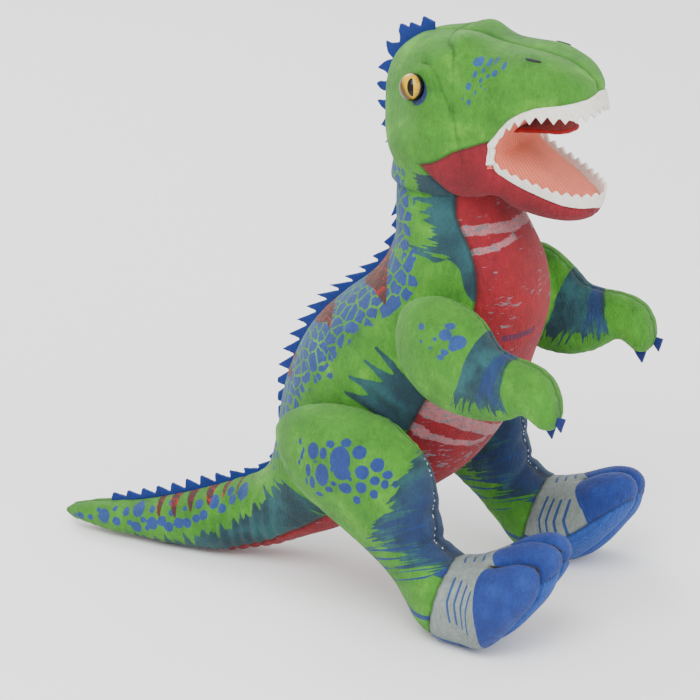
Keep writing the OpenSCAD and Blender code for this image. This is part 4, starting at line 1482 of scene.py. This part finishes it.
LEG_SPOTS = [
    (18, 110, 1.1, 2.1), (21, 106, 0.8, 1.7), (20, 102.5, 1.1, 2.6), (18, 98, 1.0, 2.1),
    (28, 107, 3.8, 4.9), (35, 107, 2.4, 3.6), (39, 113, 2.8, 2.1), (49, 115, 3.2, 2.3),
    (30, 101, 1.3, 1.0), (46.5, 105, 6.6, 8.0), (48.5, 98, 5.6, 4.2), (58, 111, 4.3, 3.7),
    (35, 94, 4.7, 7.0), (41.5, 99, 1.0, 1.5), (61, 100, 4.3, 4.2), (69.5, 105, 3.9, 4.0),
    (76, 100, 2.9, 2.5), (54, 95, 1.3, 1.3), (43.5, 90.5, 2.2, 1.4), (51, 89, 4.2, 3.3),
    (61, 91, 3.5, 3.3), (69, 96, 3.0, 2.7), (75, 94.5, 2.3, 2.6), (81, 95, 2.1, 2.0),
    (40, 86, 2.9, 1.8), (69, 88, 2.5, 2.7), (58.5, 83, 2.5, 2.6), (25, 94.5, 2.0, 3.9),
    (28, 87.5, 2.0, 3.9), (23.5, 87, 1.0, 2.6), (32.5, 81, 2.8, 1.8),
]


# How far the teal of the shin comes back from the leg's front edge, along the leg.
SHIN_WIDTH = [
    (0, -40), (68, -40), (80, 4), (88, 30), (100, 38), (118, 30), (134, 24), (150, 18), (165, 6),
    (180, -20),
]
# The front edge of the leg in X and Z.
LEG_EDGE = [
    (-9, 108), (1, 120), (22, 128), (49, 129), (75, 122), (93, 106), (99, 87), (100, 72), (102, 61),
    (112, 55), (122, 54),
]


def leg_cloth():
    """Spots on the thigh, ragged teal down the shin, and bars at the ankle."""
    cloth = green_cloth("plush_leg")
    cloth.paint(cloth.inside("spots", cloth.wobble() * 0.9), srgb(60, 94, 154))
    reach, front = cloth.attribute("reach"), cloth.attribute("front")
    slanted = reach + front * 0.25
    hatch = cloth.streaks(slanted / 3.3, front / 40, 0.0, 2.0, 0.6)
    shin = reach.curve(SHIN_WIDTH) - front + hatch * 58
    cloth.paint(shin.step(-0.4, 0.6), cloth.mottled(12.0, -0.15, 0.15, TEAL_DEEP, TEAL))
    ink = cloth.streaks(slanted / 2.4, front / 30, 5.0, 2.0, 0.6)
    cloth.paint((shin - 8 + ink * 60).step(0, 2) * reach.step(84, 96) * 0.7, srgb(48, 76, 130))
    bar = cloth.streaks(slanted / 2.8, front / 34, 9.0, 1.0)
    ankle = reach.step(96, 112) * (front - 6).step(0, 10) * (-front + 62).step(0, 12)
    cloth.paint((bar - 0.08).step(-0.01, 0.02) * ankle, srgb(50, 88, 146))
    return cloth


def foot_cloth():
    """Grey, with blue arcs and blue toe caps."""
    cloth = Cloth("plush_foot", srgb(158, 166, 162))
    wobble = cloth.wobble()
    cloth.paint(cloth.noise(cloth.rest, 2.5, 3.0, 0.7).step(0.0, 0.3) * 0.5, srgb(134, 142, 140))
    cloth.paint(cloth.inside("arcs", wobble * 0.3, 0.15), srgb(70, 108, 156))
    cap = cloth.inside("cap", wobble * 0.6, 0.2)
    cloth.paint(cap, cloth.mottled(14.0, -0.1, 0.2, srgb(48, 86, 154), srgb(58, 98, 164)))
    return cloth


def sole_cloth():
    cloth = Cloth("plush_sole", srgb(66, 112, 178))
    ribs = cloth.ribs(cloth.parts(cloth.rest)[1] + cloth.noise(cloth.rest, 12.0), 1.5)
    cloth.raise_by(ribs * 0.15)
    # The colour follows the ribs, darker in their troughs and lighter on their crests, as painted
    # shade.
    cloth.shade(ribs * 0.07 + 1.0)
    return cloth


PLUSH_LEG = plush(leg_cloth(), 0.09, GREEN_EDGE)
PLUSH_FOOT = plush(foot_cloth(), 0.08, BLUE_EDGE)
PLUSH_SOLE = plush(sole_cloth(), 0.08, BLUE_EDGE)
FOOT_MIDDLE = 69.5  # the middle of a foot, in Y
TOE = 10.0  # half a toe's width
SIDE_ARCS = [[(a + 2, 0, 45), (a, 0, 33), (a + 2.5, 0, 21)] for a in (119.5, 124.5, 129.5, 134.5)]
TOP_ARCS = [[(a + 2, 76, 0), (a, FOOT_MIDDLE, 0), (a + 2, 63, 0)] for a in (120, 126, 132)]


def nearest_line(lines, v):
    return np.min([along_line(points, v)[1] for points in lines], axis=0)


def toe_fold(tree, y):
    """A thread over the toes from above, round their tip and back below, at a place in Y."""
    path = []
    start = np.array([143.0, y, 36.0])
    for turn in np.radians(205 - 250 * np.linspace(0, 1, 40)):
        way = np.array([math.cos(turn), 0, math.sin(turn)])
        hit = tree.ray_cast((start + way * 60).tolist(), (-way).tolist(), 60)[0]
        if hit is not None and hit[0] > 139:
            path.append(np.array(hit) + way * 1.5)
    return tube(path, 0.7)


def shin_stitches(leg, tree, off_seam, sign):
    """White stitches across the seam down the front of the leg."""
    stitches = []
    for s in np.arange(84, 124, 2.7):
        pick = np.nonzero((np.abs(leg.a["reach"] - s) < 1.2) & (leg.a["front"] < 14))[0]
        if not len(pick) or off_seam[pick].min() > 1.5:
            continue
        at = leg.v[pick[off_seam[pick].argmin()]] + [0, sign * 1.6, 0]
        points = [at + np.array([0.45, 0, -0.9]) * k for k in (-0.7, -0.35, 0, 0.35, 0.7)]
        stitches.append(tube(on_skin(tree, points, 0.15), 0.32, 8))
    return stitches


for side, sign in SIDES.items():
    body_name = f"leg_{side}"
    leg_names = [f"leg_outer_{side}", f"leg_inner_{side}"]
    foot_names = [f"foot_upper_{side}", f"foot_sole_{side}"]
    names = leg_names + foot_names
    parts = [cad(n) for n in names]
    parts += [filling(f"leg_filling_{side}"), filling(f"foot_filling_{side}")]
    leg = padded_skin(parts, [[n] for n in names], voxel=4.0)
    outer, inner, upper, sole = (distance(leg.v, n) for n in names)
    x, y, z = leg.v.T
    y = np.abs(y)
    # The grey cloth starts further down than its CAD panel, and the sole's outer edge is low.
    foot = np.minimum(outer, inner) - np.minimum(upper, sole) - 15
    leg.a["foot"] = foot
    leg.a["sole"] = upper - sole - 18 * smoothstep(y, 74, 90) * smoothstep(z, -3, 4)
    seam = np.where(foot > 0, 99, np.abs(outer - inner))
    seam = np.minimum(seam, np.abs(foot))
    seam = np.minimum(seam, np.where(foot > -1, np.abs(leg.a["sole"]), 99))
    reach = along_line(sided(LEG_AXIS, sign), leg.v)[0]
    front_edge = [(x0, 62 + (x0 > 90) * 5, z0) for x0, z0 in LEG_EDGE]
    front = along_line(sided(front_edge, sign), leg.v)[1]
    leg.a["reach"], leg.a["front"] = reach, front
    leg.a["spots"] = spots_field(LEG_SPOTS, x, z) - np.where(y < 66, 30, 0)
    across = y - FOOT_MIDDLE
    top = np.where(z > 46, nearest_line(TOP_ARCS, np.stack([x, y, 0 * z], axis=1)), 9.0)
    from_side = nearest_line(SIDE_ARCS, leg.v * [1, 0, 1])
    leg.a["arcs"] = 0.75 - np.where((np.abs(across) > 13) & (z < 50), from_side, top)
    lobe = np.where(np.abs(across) < TOE, across, np.abs(across) - 2 * TOE)
    leg.a["cap"] = x - 138 - 4.5 * np.clip(lobe / TOE, -1, 1) ** 2 - np.clip(40 - z, 0, 40) * 0.3
    crease = np.abs(np.abs(across) - TOE)
    toes = smoothstep(x, 130, 150)
    leg.a["groove"] = np.minimum(seam, np.where(toes > 0.3, crease, 99))
    toe_fall = 1 - np.sqrt(np.maximum(1 - np.clip(np.abs(lobe / TOE), 0, 0.97) ** 2, 0))
    instep_fold = bell(reach - 116 - 0.15 * front, 2.6) * (1 - smoothstep(front, 8, 34))
    ankle_fold = bell(reach - 104, 3.0) * (1 - smoothstep(front, 4, 22))
    leg.push(
        seam_dip(seam, 0.8, 1.2, 0.5, 5)
        + 0.5 * waves(leg.v, 18, 41)
        - 2.4 * instep_fold
        - 1.4 * ankle_fold
        + 0.3 * ripple(reach, 6) * np.exp(-seam / 4)
        - toes * 8.5 * toe_fall * (np.abs(across) < 2 * TOE)
        - toes * 2.2 * bell(crease, 1.8)
    )
    # The toes are rolled outwards a little.
    roll = smoothstep(leg.v[:, 0], 125, 150) * (np.abs(leg.v[:, 1]) - FOOT_MIDDLE)
    leg.v[:, 2] -= roll * 0.32
    leg.v[:, 0] -= roll * 0.22
    meet_body(leg, sign, HIP, 22, 48)
    leg.a["rest"] = leg.v.copy()
    leg.v[:, 2] = np.maximum(leg.v[:, 2], 0.1)
    v, foot_f, leg_f, arrays = cut(leg.v, leg.f, foot, leg.a)
    v, sole_f, upper_f, arrays = cut(v, foot_f, arrays["sole"], arrays)
    upper_names = [f"foot_upper_{side}", f"foot_filling_{side}"]
    for name, faces, material, slot, replaced in (
        (f"leg_plush_{side}", leg_f, PLUSH_LEG, "plush_body", leg_names + [f"leg_filling_{side}"]),
        (f"foot_plush_{side}", upper_f, PLUSH_FOOT, "plush_foot", upper_names),
        (f"sole_plush_{side}", sole_f, PLUSH_SOLE, "plush_foot", [f"foot_sole_{side}"]),
    ):
        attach(skin_piece(name, v, faces, arrays, material, replaced), body_name)
    leg_tree = tree_of(leg.v, leg.f)
    folds = [toe_fold(leg_tree, (FOOT_MIDDLE + fold) * sign) for fold in (-TOE, TOE)]
    off_seam = np.abs(outer - inner) + np.where((foot > 0) | (leg.v[:, 0] < 60), 99, 0)
    stitches = shin_stitches(leg, leg_tree, off_seam, sign)
    for name, tubes, material, replaced in (
        (f"toe_folds_{side}", folds, THREAD_DARK, [f"toe_threads_{side}"]),
        (f"white_stitches_{side}", stitches, THREAD_WHITE, []),
    ):
        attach(thread_piece(name, tubes, material, replaced), body_name)


# ---- floor, light and camera -----------------------------------------------------------------


def plain_material(name, colour, roughness):
    material = bpy.data.materials.new(name)
    material.use_nodes = True
    shader = material.node_tree.nodes["Principled BSDF"]
    shader.inputs["Base Color"].default_value = (*colour, 1)
    shader.inputs["Roughness"].default_value = roughness
    return material


FLOOR_GAP = 0.0004  # metres that the floor lies under the toy


def floor_and_backdrop():
    """One pale sheet that lies flat under the toy and curves up far behind it."""
    flat, radius, height, wide = 1.6, 1.2, 4.0, 6.0
    rows = [(-3.0, 0.0), (flat, 0.0)]
    rows += [
        (flat + radius * math.sin(a), radius * (1 - math.cos(a)))
        for a in np.linspace(0, math.pi / 2, 16)[1:]
    ]
    rows.append((flat + radius, height))
    away = math.radians(CAMERA_AZIMUTH)
    back = Vector((-math.sin(away), math.cos(away), 0))
    across = Vector((math.cos(away), math.sin(away), 0))
    verts, faces = [], []
    for d, h in rows:
        for w in (-wide, wide):
            verts.append(back * d + across * w + Vector((0, 0, h - FLOOR_GAP)))
    for i in range(len(rows) - 1):
        faces.append((2 * i, 2 * i + 1, 2 * i + 3, 2 * i + 2))
    me = bpy.data.meshes.new("floor")
    me.from_pydata(verts, [], faces)
    me.polygons.foreach_set("use_smooth", [True] * len(faces))
    me.update()
    obj = linked("floor", me)
    me.materials.append(plain_material("pale_floor", (0.93, 0.93, 0.93), 0.9))


def area_light(name, place, aim, size, power):
    light = bpy.data.lights.new(name, "AREA")
    light.shape = "SQUARE"
    light.size = size
    light.energy = power
    obj = linked(name, light)
    obj.location = place
    obj.rotation_euler = (Vector(aim) - Vector(place)).to_track_quat("-Z", "Y").to_euler()


# The photograph's view: degrees from the side view towards the front, degrees up, metres, and mm.
CAMERA_AZIMUTH = 26
CAMERA_ELEVATION = 19.5
CAMERA_DISTANCE = 1.9
CAMERA_LENS = 161.2
SENSOR_WIDTH = 36
CAMERA_AIM = Vector((0.0108, 0, 0.14))


def photo_camera():
    a, e = math.radians(CAMERA_AZIMUTH), math.radians(CAMERA_ELEVATION)
    away = Vector((math.sin(a) * math.cos(e), -math.cos(a) * math.cos(e), math.sin(e)))
    camera = bpy.data.cameras.new("photo_camera")
    camera.sensor_width = SENSOR_WIDTH
    camera.lens = CAMERA_LENS
    obj = linked("photo_camera", camera)
    obj.location = CAMERA_AIM + away * CAMERA_DISTANCE
    obj.rotation_euler = (-away).to_track_quat("-Z", "Y").to_euler()
    bpy.context.scene.camera = obj


photo_camera()
floor_and_backdrop()
area_light("key", (0.2, -1.3, 1.9), (0, 0, 0.12), 1.3, 48)
area_light("fill", (1.9, -0.6, 1.0), (0.03, 0, 0.15), 1.6, 20)
area_light("back", (-1.2, 1.0, 1.5), (0, 0, 0.15), 1.2, 24)
world = bpy.data.worlds.new("studio")
bpy.context.scene.world = world
world.use_nodes = True
background = world.node_tree.nodes["Background"]
background.inputs["Color"].default_value = (1, 1, 1, 1)
background.inputs["Strength"].default_value = 1.25
